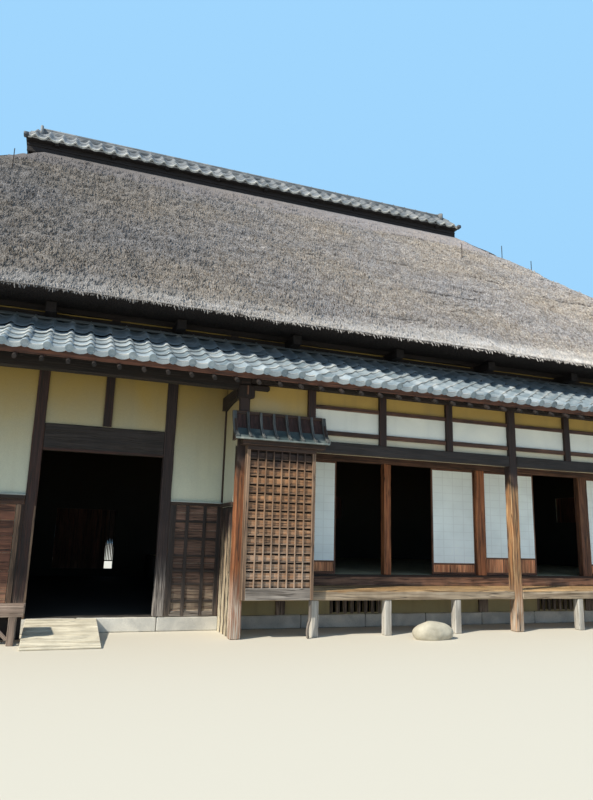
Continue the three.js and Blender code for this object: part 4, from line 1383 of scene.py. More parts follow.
    def _rafters(self, side: Side, half: float, plane: Matrix) -> None:
        """Rafters with pale sawn ends under the boards."""
        pole = self._pole()
        parts = []
        count = int((half - 0.12) / self.rafter_pitch)
        for x in (self.rafter_from + self.rafter_pitch * index for index in range(-2 * count, 2 * count)):
            short = max(0.0, abs(x) - (half - self.run) + 0.05)
            if short > self.run - 0.15:
                continue
            shorter = Matrix.Diagonal((1, 1 - short / self.run, 1, 1))
            fit = plane @ moved(x, self.rafter_end) @ shorter @ moved(0, -self.rafter_end)
            parts.append(copied(pole, fit))
        drop(pole)
        join(f"pent_rafters_{side.name.lower()}", parts, side=side)

    def _pole(self) -> Piece:
        """One round rafter, with a greyed end."""
        pole = started(bpy.ops.mesh.primitive_cylinder_add, vertices=10, radius=0.027, depth=1,
                       rotation=(math.radians(-90), 0, 0), scale=(1, 1, 1.3))
        end, down = self.rafter_end, -self.rafter_drop
        size = Matrix.Diagonal((1, self.reach - end - 0.025, 1, 1))
        pole.data.transform(moved(0, end, down) @ size @ moved(0, 0.5, 0))
        mark_grain(pole, (-0.03, end, down - 0.055), (0.03, self.reach, down + 0.055), Grain.ALONG_Y)
        dress(pole, RAFTER_TIMBER, RAFTER_END)
        edit(pole)
        pick_faces(pole, lambda place, normal: normal.y < -0.9)
        bpy.ops.mesh.inset(thickness=0.012)
        push(0, -0.008, 0)
        repaint(pole, lambda place, normal: place.y < end + 0.001)
        leave()
        return pole

    def _flashing(self, side: Side, edge: float, half: float) -> None:
        """Two flat courses where the tiles meet the wall."""
        wall = -edge + self.run
        height = self.top_edge + self.slope * self.run
        reach = half - self.run
        parts = []
        for low, deep in ((-0.100, 0.20), (-0.062, 0.11)):
            parts.append(saw((-reach - deep * 0.6, wall - deep, height + low),
                             (reach + deep * 0.6, wall - 0.002, height + low + 0.032), WALL_TILE, ease=0.006,
                             cuts=int(reach * 6), wobble=0.003))
        join(f"pent_flashing_{side.name.lower()}", parts, side=side)

    def _hips(self) -> None:
        """Flat courses and round tiles down the four hips."""
        cover = started(bpy.ops.mesh.primitive_cylinder_add, vertices=12, radius=0.07, depth=0.3,
                        rotation=(math.radians(90), 0, 0))
        edit(cover)
        pick_faces(cover, lambda place, normal: normal.y < -0.9)
        bpy.ops.mesh.inset(thickness=0.012)
        push(0, 0.008, 0)
        leave()
        dress(cover, ROOF_TILE)
        tone(cover)
        parts = []
        length = self.run * math.sqrt(2)
        rise = math.degrees(math.atan(self.slope / math.sqrt(2)))
        flat = saw((-0.12, 0.10, 0.0), (0.12, length, 0.05), ROOF_TILE, Grain.ALONG_Y, 0.01, cuts=8, wobble=0.003)
        x, y = OUTER_X + self.past - 0.04, -OUTER_Y + self.past - 0.04
        for across, back, turn in ((-x, -y, -45), (x, -y, 45), (x, y, 135), (-x, y, -135)):
            place = moved(across, back, self.top_edge - 0.005) @ turned(turn, "Z") @ turned(rise, "X")
            parts.append(copied(flat, place))
            for up in rows(0.12, length / math.cos(math.radians(rise)) - 0.02, 0.27):
                parts.append(copied(cover, place @ moved(0, up, 0.06)))
        drop(flat, cover)
        join("pent_hips", parts, smooth=40)


@dataclass
class EntranceFront:
    """Front of the entrance hall: studs and jambs in plaster, over boarded dados."""

    jamb: float = 0.148
    face: float = WALL_Y + 0.035

    def build(self) -> None:
        """Builds the timbers and boards."""
        self._studs()
        self._jambs()
        self._left_dado()
        self._right_dado()

    def _studs(self) -> None:
        """Dark studs that stand proud of the plaster."""
        parts = []
        for x, low in ((DOOR_X - KEN, DADO_TOP), (DOOR_X - 2 * KEN, DADO_TOP), (-END_STUD, DADO_TOP),
                       (DOOR_X + KEN / 2, 2.815)):
            parts.append(saw((x - 0.064, WALL_Y - 0.002, low), (x + 0.064, self.face + 0.004, WALL_TOP),
                             JAMB_TIMBER, Grain.ALONG_Z, 0.006))
        join("hall_studs", parts)

    def _jambs(self) -> None:
        """Jambs, and the deep lintel over the doorway."""
        for name, x in (("left", DOOR_X), ("right", DOOR_X + KEN)):
            half = self.jamb / 2
            # The right jamb's pale foot includes painted sunlight
            post = saw((x - half, WALL_Y, BASE_TOP), (x + half, WALL_Y + self.jamb, WALL_TOP - 0.001),
                       JAMB_TIMBER if name == "left" else WEATHERED_SUNLIT_JAMB, Grain.ALONG_Z, 0.008, 14, 0.004)
            parts = [post]
            if name == "left":
                parts.append(saw((x + half - 0.024, WALL_Y - 0.004, 0.2), (x + half - 0.001, WALL_Y + 0.03, 1.66),
                                 STILE_TIMBER, Grain.ALONG_Z, 0.004, 6, 0.002))
            join(f"door_jamb_{name}_post", parts, replaces=[f"door_jamb_{name}"])
        low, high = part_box("door_lintel")
        beam = saw(tuple(low), tuple(high), HEAD_TIMBER, Grain.ALONG_X, 0.01, 8, 0.004)
        groove = saw((low.x, low.y - 0.004, low.z - 0.001), (high.x, low.y + 0.03, low.z + 0.03), JAMB_TIMBER)
        join("door_lintel_beam", [beam, groove], replaces=["door_lintel"])

    def _left_dado(self) -> None:
        """Boards laid flat between a dark cap and the stone base."""
        low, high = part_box("wainscot_left")
        front, foot, rail, corner = low.y, 0.2, 1.675, high.x - 0.035
        parts = [
            saw((low.x, front - 0.022, 1.745), (high.x, high.y + 0.001, DADO_TOP), DARK_TIMBER, ease=0.006),
            saw((low.x, front - 0.024, 1.798), (high.x, high.y + 0.001, 1.818), LEDGE, ease=0.003),
            saw((low.x, front - 0.004, rail), (high.x, high.y, 1.742), RED_TIMBER, ease=0.005),
            saw((corner - 0.06, front - 0.010, foot), (corner, high.y, rail), STILE_TIMBER, Grain.ALONG_Z, 0.005),
            saw((corner, front, foot), (high.x, high.y, rail), DARK_TIMBER, Grain.ALONG_Z, 0.0),
        ]
        levels = [BASE_TOP, 0.36, 0.565, 0.80, 1.035, 1.255, 1.46, 1.672]
        for bottom, top in zip(levels, levels[1:]):
            for start, end in ((low.x, DOOR_X - KEN), (DOOR_X - KEN, high.x - 0.1)):
                parts.append(saw((start + 0.002, front + DICE.uniform(0.0, 0.006), bottom + 0.003),
                                 (end - 0.002, high.y, top - 0.002), WALL_BOARD, cuts=5, wobble=0.0025))
        for x in (DOOR_X - KEN, DOOR_X - 2 * KEN):
            parts.append(saw((x - 0.03, front - 0.008, foot), (x + 0.03, high.y, rail), WALL_BOARD, Grain.ALONG_Z))
        join("wainscot_left_boards", parts, replaces=["wainscot_left"])

    def _right_dado(self) -> None:
        """Grey boards behind a dark lattice of battens, worn away at the foot."""
        low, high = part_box("wainscot_right")
        front = low.y + 0.010
        parts = [saw((low.x, low.y - 0.018, 1.752), (high.x, high.y, DADO_TOP), DARK_TIMBER, ease=0.006),
                 saw((low.x, low.y - 0.020, 1.798), (high.x, high.y, 1.816), LEDGE, ease=0.003)]
        levels = [0.2, 0.29, 0.41, 0.52, 0.64, 0.73, 0.825, 0.93, 1.035, 1.155, 1.275, 1.395, 1.52, 1.65, 1.752]
        for bottom, top in zip(levels, levels[1:]):
            parts.append(saw((low.x, front + DICE.uniform(0, 0.004), bottom + 0.002), (high.x, high.y, top - 0.002),
                             GREY_BOARD, cuts=5, wobble=0.0025))
        for level in (1.52, 1.275, 1.035, 0.825, 0.64, 0.41):
            parts.append(saw((low.x, low.y - 0.001, level - 0.016), (high.x, front, level + 0.016), BATTEN, ease=0.003))
        for x, wide in ((low.x + 0.045, 0.045), (-2.352, 0.024), (-2.092, 0.024), (high.x - 0.03, 0.045)):
            parts.append(saw((x - wide, low.y - 0.010, 0.205), (x + wide, front, 1.752), BATTEN, Grain.ALONG_Z, 0.004,
                             6, 0.003))
        parts.append(saw((low.x, low.y - 0.006, BASE_TOP), (high.x, high.y, 0.27), GREY_TIMBER, ease=0.008, cuts=6,
                         wobble=0.004))
        join("wainscot_right_boards", parts, replaces=["wainscot_right"])


@dataclass
class ReturnWall:
    """The wall that steps out from the hall to the corner post, with weathered uprights below."""

    face: float = -1.836

    def build(self) -> None:
        """Builds the uprights, the cap and the corner batten."""
        parts = []
        for back, wide, top, proud in ((-5.235, 0.115, 1.74, 0.010), (-5.050, 0.115, 1.66, 0.008),
                                       (-4.865, 0.115, 1.71, 0.010), (-4.665, 0.13, 1.62, 0.008)):
            parts.append(saw((self.face - proud, back - wide / 2, 0.0), (self.face - 0.002, back + wide / 2, top),
                             UPRIGHT, Grain.ALONG_Z, 0.004, 16, 0.004))
        # A dark sheet behind the uprights shows in the gaps between them as painted shade
        parts.append(saw((self.face - 0.003, -5.30, 0.0), (self.face - 0.0005, -4.56, 1.74), BATTEN, Grain.ALONG_Z))
        parts.append(saw((self.face - 0.050, -5.303, 1.745), (self.face - 0.001, -4.56, 1.795), DARK_TIMBER,
                         Grain.ALONG_Y, 0.006))
        parts.append(saw((self.face - 0.022, WALL_Y - 0.010, 0.2), (self.face - 0.001, WALL_Y + 0.034, 3.3),
                         DARK_TIMBER, Grain.ALONG_Z, 0.005))
        parts.append(saw((self.face - 0.001, WALL_Y - 0.002, 3.0), (-1.709, WALL_Y + 0.1, WALL_TOP - 0.001),
                         DARK_TIMBER, Grain.ALONG_Z, 0.005))
        join("return_wall_uprights", parts)
        self._brace()

    def _brace(self) -> None:
        """The curved brace from the wall to the corner post, and the block and arm on the post's head."""
        brace = saw((-1.915, -5.40, 3.20), (-1.838, -4.56, 3.40), RAFTER_TIMBER, Grain.ALONG_Y, 0.0, 14)
        co = points(brace)
        share = np.clip((co[:, 1] + 5.40) / 0.78, 0, 1)
        co[:, 2] = np.where(co[:, 2] < 3.3, 3.252 - 0.10 * (share - 0.5) * share, co[:, 2])
        place_points(brace, co)
        block = saw((-1.90, -5.475, 3.245), (-1.665, -5.29, 3.44), RAFTER_TIMBER, Grain.ALONG_Z, 0.016, 3)
        tapered(block, -1, (0.72, 0.9, 1), (-1.80, -5.385, 3.245))
        arm = saw((-1.90, -5.462, 3.378), (-1.44, -5.36, 3.452), RAFTER_TIMBER, ease=0.014)
        tongue = saw((-1.78, -5.479, 3.30), (-1.76, -5.47, 3.43), RED_TIMBER, Grain.ALONG_Z)
        join("corner_bracket", [brace, block, arm, tongue])


@dataclass
class OuterFrame:
    """Posts along the outer line, eave beams, and the timbers and panels of the transom."""

    posts: tuple[float, ...] = (-1.8, 2.745, 7.29, 10.025)
    width: float = 0.15
    struts: tuple[tuple[float, ...], ...] = ((1.02, 2.183, 3.357), (1.136, 2.272, 3.409), (0.9, 1.85))
    strut: float = 0.115
    head: tuple[float, float] = (2.555, 2.722)
    rails: tuple[tuple[float, float], ...] = ((2.822, 2.888), (3.205, 3.262))
    top: float = 3.468
    beam_top: float = 3.685

    def build(self) -> None:
        """Builds the posts, beams and the transom."""
        self._posts()
        self._beams()
        self._transom()

    def _posts(self) -> None:
        """Weathered posts with long cracks and an eroded foot."""
        for node, finish in (("corner_post", POST_TIMBER), ("main_post_1", MAIN_POST),
                             ("main_post_2", MAIN_POST), ("end_post_right", MAIN_POST),
                             ("end_post_left", POST_TIMBER)):
            low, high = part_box(node)
            post = saw(tuple(low), (high.x, high.y, max(high.z, self.top + 0.03)), finish, Grain.ALONG_Z, 0.012, 40)
            displace(post, 0.09, 0.012)
            join(f"{node}_timber", [post], replaces=[node])

    def _beams(self) -> None:
        """The eave beams on all four sides, and the two posts at the back corners."""
        step = self.posts[0] + self.width / 2
        beams = [
            saw(low, high, RAFTER_TIMBER, ease=0.012, cuts=12, wobble=0.003) for low, high in (
                ((-OUTER_X, OUTER_Y, 3.373), (step, BEAM_BACK, self.beam_top)),
                ((step, OUTER_Y, 3.466), (OUTER_X, BEAM_BACK, self.beam_top)),
                ((-OUTER_X, -BEAM_BACK, 3.44), (OUTER_X, -OUTER_Y, self.beam_top)),
            )
        ]
        join("eave_beam_timber", beams[:2], replaces=["eave_beam_front"])
        parts = beams[2:]
        for x in (-OUTER_X, OUTER_X - self.width):
            right = x + self.width
            parts.append(saw((x, -5.3, 3.44), (right, -BEAM_BACK, self.beam_top), RAFTER_TIMBER, Grain.ALONG_Y, 0.012,
                             8, 0.003))
            parts.append(saw((x, -BEAM_BACK, 0), (right, -OUTER_Y, 3.441), POST_TIMBER, Grain.ALONG_Z, 0.012, 12,
                             0.003))
        join("eave_frame_timber", parts, replaces=["eave_frame"])

    def _transom(self) -> None:
        """Plaster, white panels, rails, struts and the head beam over the veranda."""
        back = OUTER_Y + 0.06
        parts = [saw((-1.875, back + 0.001, 2.556), (OUTER_X, OUTER_Y + 0.13, self.top), BAND_PLASTER, ease=0.0)]
        for index, struts in enumerate(self.struts):
            start, end = self.posts[index] + self.width / 2, self.posts[index + 1] - self.width / 2
            parts.append(saw((start, OUTER_Y, self.head[0]), (end, back + 0.02, self.head[1]), HEAD_TIMBER,
                             ease=0.008, cuts=8, wobble=0.003))
            places = [self.posts[index] + offset for offset in struts]
            half = self.strut / 2
            for x in places:
                parts.append(saw((x - half, OUTER_Y, self.head[1]), (x + half, back + 0.02, self.top), JAMB_TIMBER,
                                 Grain.ALONG_Z, 0.006))
            edges = [start, *places, end]
            for number, (left, right) in enumerate(zip(edges, edges[1:])):
                if index == 0 and number == 0:
                    continue
                left = left if number == 0 else left + half
                right = right if number == len(struts) else right - half
                for low, high in self.rails:
                    parts.append(saw((left, OUTER_Y + 0.02, low), (right, back + 0.02, high), RED_TIMBER, ease=0.005))
                for low, high, finish in ((self.rails[0][1], self.rails[1][0], WHITE_PANEL),
                                          (self.head[1], self.rails[0][0], PALE_STRIP)):
                    parts.append(saw((left, back - 0.006, low), (right, back + 0.02, high), finish, ease=0.0))
        join("transom_timbers", parts, replaces=["transom_wall"])


@dataclass
class Veranda:
    """The boarded deck, its edge beam and its feet."""

    top: float = 0.622
    left: float = -1.725
    right: float = 9.95
    beam: float = 0.155
    foot_top: float = 0.488
    feet: tuple[tuple[float, ...], ...] = ((1.125, 2.263, 3.437), (1.211, 2.347, 3.484), (0.975, 1.925))

    def build(self) -> None:
        """Builds the deck."""
        parts = []
        cuts = [self.left, 0.35, 2.745, 5.1, 7.29, self.right]
        ys = [OUTER_Y + self.beam, *[OUTER_Y + self.beam + 0.151 * step for step in range(1, 5)], WALL_Y - 0.001]
        for start, end in zip(ys, ys[1:]):
            for low, high in zip(cuts, cuts[1:]):
                lift = DICE.uniform(-0.003, 0.0)
                parts.append(saw((low + 0.001, start + 0.002, 0.575 + lift),
                                 (high - 0.001, end - 0.002, self.top + lift), DECK_BOARD, ease=0.005, cuts=4,
                                 wobble=0.0015))
        for low, high in ((self.left, 2.669), (2.821, 7.214), (7.366, self.right)):
            back = OUTER_Y + self.beam - 0.002
            parts.append(saw((low, OUTER_Y, self.foot_top), (high, back, self.top - 0.012), EDGE_TIMBER, ease=0.010,
                             cuts=14, wobble=0.004))
            parts.append(saw((low, OUTER_Y + 0.002, self.top - 0.035), (high, back, self.top), DECK_BOARD, ease=0.006,
                             cuts=6, wobble=0.002))
        for post, feet in zip(OuterFrame().posts, self.feet):
            for x in (post + offset for offset in feet):
                parts.append(saw((x - 0.055, OUTER_Y + 0.012, 0), (x + 0.055, OUTER_Y + 0.127, self.foot_top),
                                 FOOT_TIMBER, Grain.ALONG_Z, 0.009, 5, 0.0012))
        for x in rows(self.left + 0.2, self.right - 0.2, 0.95):
            parts.append(saw((x - 0.04, OUTER_Y + self.beam, 0.50), (x + 0.04, WALL_Y - 0.001, 0.574), DARK_TIMBER,
                             Grain.ALONG_Y))
        join("veranda_boards", parts, replaces=["veranda_deck"])


@dataclass
class RoomFront:
    """Front of the rooms: sill, lintel, posts, plaster bands, vents and the paper panels."""

    posts: tuple[tuple[float, float], ...] = ((-0.944, -0.8), (0.868, 0.993), (2.648, 2.83), (4.91, 5.11), (7.2, 7.35))
    vents: tuple[tuple[float, float], ...] = ((-0.011, 0.824), (3.916, 4.751))
    white_from: tuple[float, ...] = (1.0, 0.986, 1.086, 1.0, 1.0)
    stile: float = 0.026
    rail: float = 0.035
    waist: float = 0.028
    foot_rail: float = 0.04

    def build(self) -> None:
        """Builds the frame and the panels."""
        self._frame()
        self._below()
        for number in range(1, 6):
            self._panel(number)

    def _frame(self) -> None:
        """Sill, lintel and posts."""
        low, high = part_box("room_sill")
        sill = [saw(tuple(low), (high.x, high.y, 0.757), SILL_TIMBER, ease=0.006, cuts=10, wobble=0.002),
                saw((low.x, low.y - 0.004, 0.755), tuple(high), DARK_TIMBER, ease=0.005)]
        join("room_sill_timber", sill, replaces=["room_sill"])
        low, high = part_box("room_lintel")
        lintel = [saw(tuple(low), tuple(high), RED_TIMBER, ease=0.006, cuts=10, wobble=0.002)]
        join("room_lintel_timber", lintel, replaces=["room_lintel"])
        for number in range(1, len(self.posts) + 1):
            low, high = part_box(f"room_post_{number}")
            post = saw(tuple(low), tuple(high), ROOM_POST if number < 4 else DARK_POST, Grain.ALONG_Z, 0.009, 16, 0.003)
            join(f"room_post_{number}_timber", [post], replaces=[f"room_post_{number}"])
        uppers = [saw((a - 0.001, WALL_Y - 0.002, 2.69), (b + 0.001, WALL_Y + 0.04, WALL_TOP), DARK_TIMBER,
                      Grain.ALONG_Z, 0.006) for a, b in self.posts]
        join("room_upper_studs", uppers)

    def _below(self) -> None:
        """Posts and vent bars under the floor."""
        face = WALL_Y + 0.035
        parts = [saw((a, WALL_Y, BASE_TOP), (b, face + 0.03, 0.621), JAMB_TIMBER, Grain.ALONG_Z, 0.006)
                 for a, b in self.posts]
        for start, end in self.vents:
            pitch = (end - start) / 7
            for index in range(8):
                x = start + pitch * index
                parts.append(saw((x - pitch * 0.45 - 0.001, face - 0.002, 0.2), (x + 0.001, face + 0.04, 0.435),
                                 JAMB_TIMBER, Grain.ALONG_Z))
            parts.append(saw((start - 0.07, face - 0.006, 0.425), (end + 0.02, face + 0.03, 0.465), JAMB_TIMBER))
        join("room_vents", parts)

    def _panel(self, number: int) -> None:
        """One paper panel: stiles, rails, boards at its foot, paper, and thin bars behind it."""
        node = f"shoji_{number}"
        low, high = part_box(node)
        front, back = low.y, high.y
        left, right = low.x + self.stile, high.x - self.stile
        head, white = high.z - self.rail, self.white_from[number - 1]
        foot, boards = low.z + self.foot_rail, white - self.waist
        parts = [
            saw((low.x, front, low.z), (left, back, high.z), LEAF_TIMBER, Grain.ALONG_Z, 0.003),
            saw((right, front, low.z), (high.x, back, high.z), LEAF_TIMBER, Grain.ALONG_Z, 0.003),
            saw((left, front, head), (right, back, high.z), LEAF_TIMBER, ease=0.003),
            saw((left, front + 0.001, boards), (right, back, white), LEAF_TIMBER, ease=0.003),
            saw((left, front + 0.001, low.z), (right, back, foot), LEAF_TIMBER, ease=0.003),
        ]
        for start, end in shares(left, right, 0.16):
            parts.append(saw((start + 0.001, front + 0.008, foot), (end - 0.001, back - 0.008, boards), FOOT_BOARD,
                             Grain.ALONG_Z, 0.002))
        parts.append(saw((left - 0.002, front + 0.003, white - 0.002), (right + 0.002, front + 0.005, head + 0.002),
                         PAPER, Grain.ALONG_Z, 0.0))
        for x in rows(left, right, 0.2)[1:]:
            parts.append(saw((x - 0.104, front + 0.006, white), (x - 0.096, back - 0.004, head), LEAF_TIMBER,
                             Grain.ALONG_Z, 0.0))
        for z in rows(white, head, 0.13)[1:]:
            parts.append(saw((left, front + 0.006, z - 0.069), (right, back - 0.004, z - 0.061), LEAF_TIMBER, ease=0.0))
        body = f"{node}_leaf" if number < 5 else "house"
        join(f"{node}_panel", parts, body, [node])


@dataclass
class ShutterBox:
    """The shutter box with its lattice front, its little curved roof and its crooked prop."""

    x: tuple[float, float] = (-1.77, -0.755)
    z: tuple[float, float] = (0.505, 2.565)
    front: float = OUTER_Y - 0.12
    stile: float = 0.048
    bottom: float = 0.155
    top: float = 0.06
    roof_x: tuple[float, float] = (-1.98, -0.58)
    sag: tuple[tuple[float, float], ...] = ((0.0, 0.100), (0.175, 0.155), (0.238, 0.49))

    def build(self) -> None:
        """Builds the box, the roof and the prop."""
        self._box()
        self._roof()
        self._prop()

    def _box(self) -> None:
        """Frame, boards and the two layers of bars."""
        (x0, x1), (z0, z1) = self.x, self.z
        back = OUTER_Y - 0.001
        inner = (x0 + self.stile, x1 - self.stile, z0 + self.bottom, z1 - self.top)
        parts = [
            saw((x0, self.front, z0), (inner[0], back, z1), STILE_TIMBER, Grain.ALONG_Z, 0.004, 10, 0.0015),
            saw((inner[1], self.front, z0), (x1, back, z1), STILE_TIMBER, Grain.ALONG_Z, 0.004, 10, 0.0015),
            saw((inner[0], self.front, z0), (inner[1], back, inner[2]), GREY_TIMBER, ease=0.005, cuts=6, wobble=0.0015),
            saw((x0, self.front - 0.008, inner[3]), (x1, back, z1), DARK_TIMBER),
        ]
        tall, wide = inner[3] - inner[2], inner[1] - inner[0]
        # A dark backing shows through the gap left under each board: painted shade for the thin shadow line under each
        # horizontal bar
        parts.append(saw((inner[0], self.front + 0.075, inner[2]), (inner[1], back, inner[3]), DARK_TIMBER, ease=0.0))
        for row in range(16):
            low, high = (inner[2] + tall * number / 16 for number in (row, row + 1))
            parts.append(saw((inner[0], self.front + 0.032, low + 0.008), (inner[1], self.front + 0.076, high - 0.030),
                             BOX_BOARD, ease=0.002))
        for row in range(1, 16):
            z = inner[2] + tall * row / 16
            parts.append(saw((inner[0], self.front + 0.014, z - 0.008), (inner[1], self.front + 0.0335, z + 0.009),
                             LATTICE_BAR, ease=0.003))
        for column in range(1, 8):
            x = inner[0] + wide * column / 8
            parts.append(saw((x - 0.009, self.front + 0.006, inner[2]), (x + 0.009, self.front + 0.0325, inner[3]),
                             LATTICE_BAR, Grain.ALONG_Z, 0.003))
        join("shutter_box_lattice", parts, replaces=["shutter_box"])

    def _curve(self, share: float) -> tuple[float, float]:
        """The sag of the roof: distance out from its eave and height, at a share of its length."""
        a, b, c = (1 - share) ** 2, 2 * share * (1 - share), share * share
        return tuple(a * p + b * q + c * r for p, q, r in zip(*self.sag))

    def _strip(self, x0: float, x1: float, lift: float, thick: float, finish: Finish, start: float = 0.0,
               end: float = 1.0) -> Piece:
        """A strip that follows the sag of the roof."""
        eave = OUTER_Y - 0.25
        piece = saw((x0, 0, 0), (x1, 1, thick), finish, Grain.ALONG_Y, 0.0, 9)
        laid = []
        for x, y, z in points(piece):
            share = start + (end - start) * y
            run, rise = self._curve(share)
            ahead = self._curve(min(1.0, share + 0.01))
            behind = self._curve(max(0.0, share - 0.01))
            slope = Vector((ahead[0] - behind[0], ahead[1] - behind[1])).normalized()
            out = lift + z
            laid.append((x, eave + run - slope.y * out, self.z[1] + rise + slope.x * out))
        place_points(piece, np.array(laid))
        edit(piece)
        pick_all()
        bpy.ops.mesh.bevel(offset=0.003, segments=1, affect="EDGES")
        leave()
        return piece

    def _roof(self) -> None:
        """Seven pans between eight curved ribs, with a pale lip and a board along the top."""
        x0, x1 = self.roof_x
        lip, wall, foot, head = OUTER_Y - 0.215, OUTER_Y - 0.001, 2.628, 3.0
        parts = [
            self._strip(x0 + 0.02, x1 - 0.02, -0.05, 0.022, DARK_TIMBER, 0.12),
            self._strip(x0 + 0.02, x1 - 0.02, -0.028, 0.006, PAN_BOARD, 0.52),
            self._strip(x0 + 0.02, x1 - 0.02, -0.030, 0.012, PAN_TILE, end=0.56),
            saw((x0, OUTER_Y - 0.020, 3.015), (x1, wall, 3.055), DARK_TIMBER),
            saw((x0 + 0.13, OUTER_Y - 0.17, 2.567), (x1 - 0.05, wall, 2.66), DARK_TIMBER, ease=0.006),
            saw((x0 + 0.01, lip - 0.031, foot), (x1 - 0.01, lip, 2.652), PAN_LIP, ease=0.005),
        ]
        for index in range(8):
            x = x0 + 0.028 + (x1 - x0 - 0.056) * index / 7
            wide = 0.028 if index in (0, 7) else 0.016
            parts.append(self._strip(x - wide, x + wide, -0.022, 0.040, RIB_TIMBER, 0.01, 0.99))
        for x, inner in ((x0 + 0.02, x0 + 0.05), (x1 - 0.02, x1 - 0.05)):
            low, high = sorted((x, inner))
            cheek = saw((low, lip, foot), (high, wall, head), DARK_TIMBER, ease=0.0)
            parts.append(tapered(cheek, 1, (1, 0.12, 1), (x, wall, head)))
        join("shutter_roof_pans", parts, replaces=["shutter_box_roof"])

    def _prop(self) -> None:
        """A crooked stick that props the box."""
        low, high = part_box("prop_post")
        stick = saw((low.x + 0.004, low.y + 0.006, 0), (low.x + 0.040, high.y - 0.004, high.z), GREY_TIMBER,
                    Grain.ALONG_Z, 0.012, 12)
        co = points(stick)
        share = co[:, 2] / high.z
        co[:, 0] += 0.024 * np.clip((share - 0.42) / 0.12, 0, 1) - 0.012 * np.sin(share * 9.0) * (share < 0.5) + 0.006
        place_points(stick, co)
        join("prop_stick", [stick], replaces=["prop_post"])


@dataclass
class Yard:
    """The bench, the ramp and the stepping stone."""

    def build(self) -> None:
        """Builds the three."""
        self._bench()
        self._ramp()
        self._stone()

    def _bench(self) -> None:
        """Three seat boards on legs, with aprons and braces."""
        low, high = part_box("bench")
        top = high.z
        parts = []
        for front, back in shares(low.y, high.y, (high.y - low.y) / 3):
            parts.append(saw((low.x, front + 0.001, top - 0.045), (high.x, back - 0.002, top), BENCH_BOARD, ease=0.006,
                             cuts=6, wobble=0.003))
        for y in (low.y + 0.001, high.y - 0.05):
            parts.append(saw((low.x + 0.002, y, top - 0.125), (high.x - 0.001, y + 0.045, top - 0.01), BENCH_BOARD,
                             ease=0.006, cuts=6, wobble=0.002))
        parts.append(saw((low.x + 0.04, high.y - 0.03, 0.02), (high.x - 0.03, high.y - 0.008, top - 0.05),
                         SOOT_AND_SHADE_TIMBER))
        for x in (low.x + 0.08, high.x - 0.16):
            for y in (low.y + 0.005, high.y - 0.065):
                parts.append(saw((x, y, 0), (x + 0.08, y + 0.06, top - 0.044), BENCH_BOARD, Grain.ALONG_Z, 0.006, 5,
                                 0.002))
            parts.append(saw((x + 0.01, low.y + 0.06, 0.12), (x + 0.07, high.y - 0.06, 0.17), BENCH_BOARD,
                             Grain.ALONG_Y))
        for x, way in ((high.x - 0.15, -1), (low.x + 0.15, 1)):
            brace = saw((-0.02, low.y + 0.015, 0), (0.02, low.y + 0.045, 0.37), BENCH_BOARD, Grain.ALONG_Z)
            brace.data.transform(moved(x + way * 0.01, 0, 0.07) @ turned(way * 45, "Y"))
            parts.append(brace)
        join("bench_boards", parts, replaces=["bench"])

    def _ramp(self) -> None:
        """Pale boards laid across, on a wedge."""
        low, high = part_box("ramp")
        length = high.y - low.y
        slope = math.atan2(high.z - 0.025, length)
        parts = []
        for start in rows(0, length / math.cos(slope), 0.145):
            board = saw((low.x, start - 0.0695, -0.022), (high.x, start + 0.0695, 0.0), RAMP_BOARD, cuts=3,
                        wobble=0.0015)
            board.data.transform(moved(0, low.y, 0.025) @ turned(math.degrees(slope), "X"))
            parts.append(board)
        for x in (low.x + 0.03, (low.x + high.x) / 2, high.x - 0.07):
            runner = saw((x, low.y + 0.02, 0), (x + 0.04, high.y, 0.02), GREY_TIMBER, Grain.ALONG_Y, 0.0)
            co = points(runner)
            co[:, 2] = np.where(co[:, 2] > 0.01, 0.003 + (co[:, 1] - low.y) * math.tan(slope), 0.0)
            place_points(runner, co)
            parts.append(runner)
        join("ramp_boards", parts, replaces=["ramp"])

    def _stone(self) -> None:
        """A smooth boulder, flattened on top and sunk in the ground."""
        low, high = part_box("step_stone")
        middle = (low + high) / 2
        size = ((high.x - low.x) / 2.1, (high.y - low.y) / 2, 0.155)
        stone = started(bpy.ops.mesh.primitive_ico_sphere_add, size, subdivisions=5, radius=1,
                        location=(middle.x, middle.y, 0.085))
        displace(stone, 0.35, 0.05)
        displace(stone, 0.05, 0.008)
        edit(stone)
        pick_all()
        bpy.ops.mesh.bisect(plane_co=(0, 0, 0.0), plane_no=(0, 0, -1), clear_outer=True, use_fill=True)
        leave()
        dress(stone, BOULDER)
        join("step_boulder", [stone], replaces=["step_stone"], smooth=60)


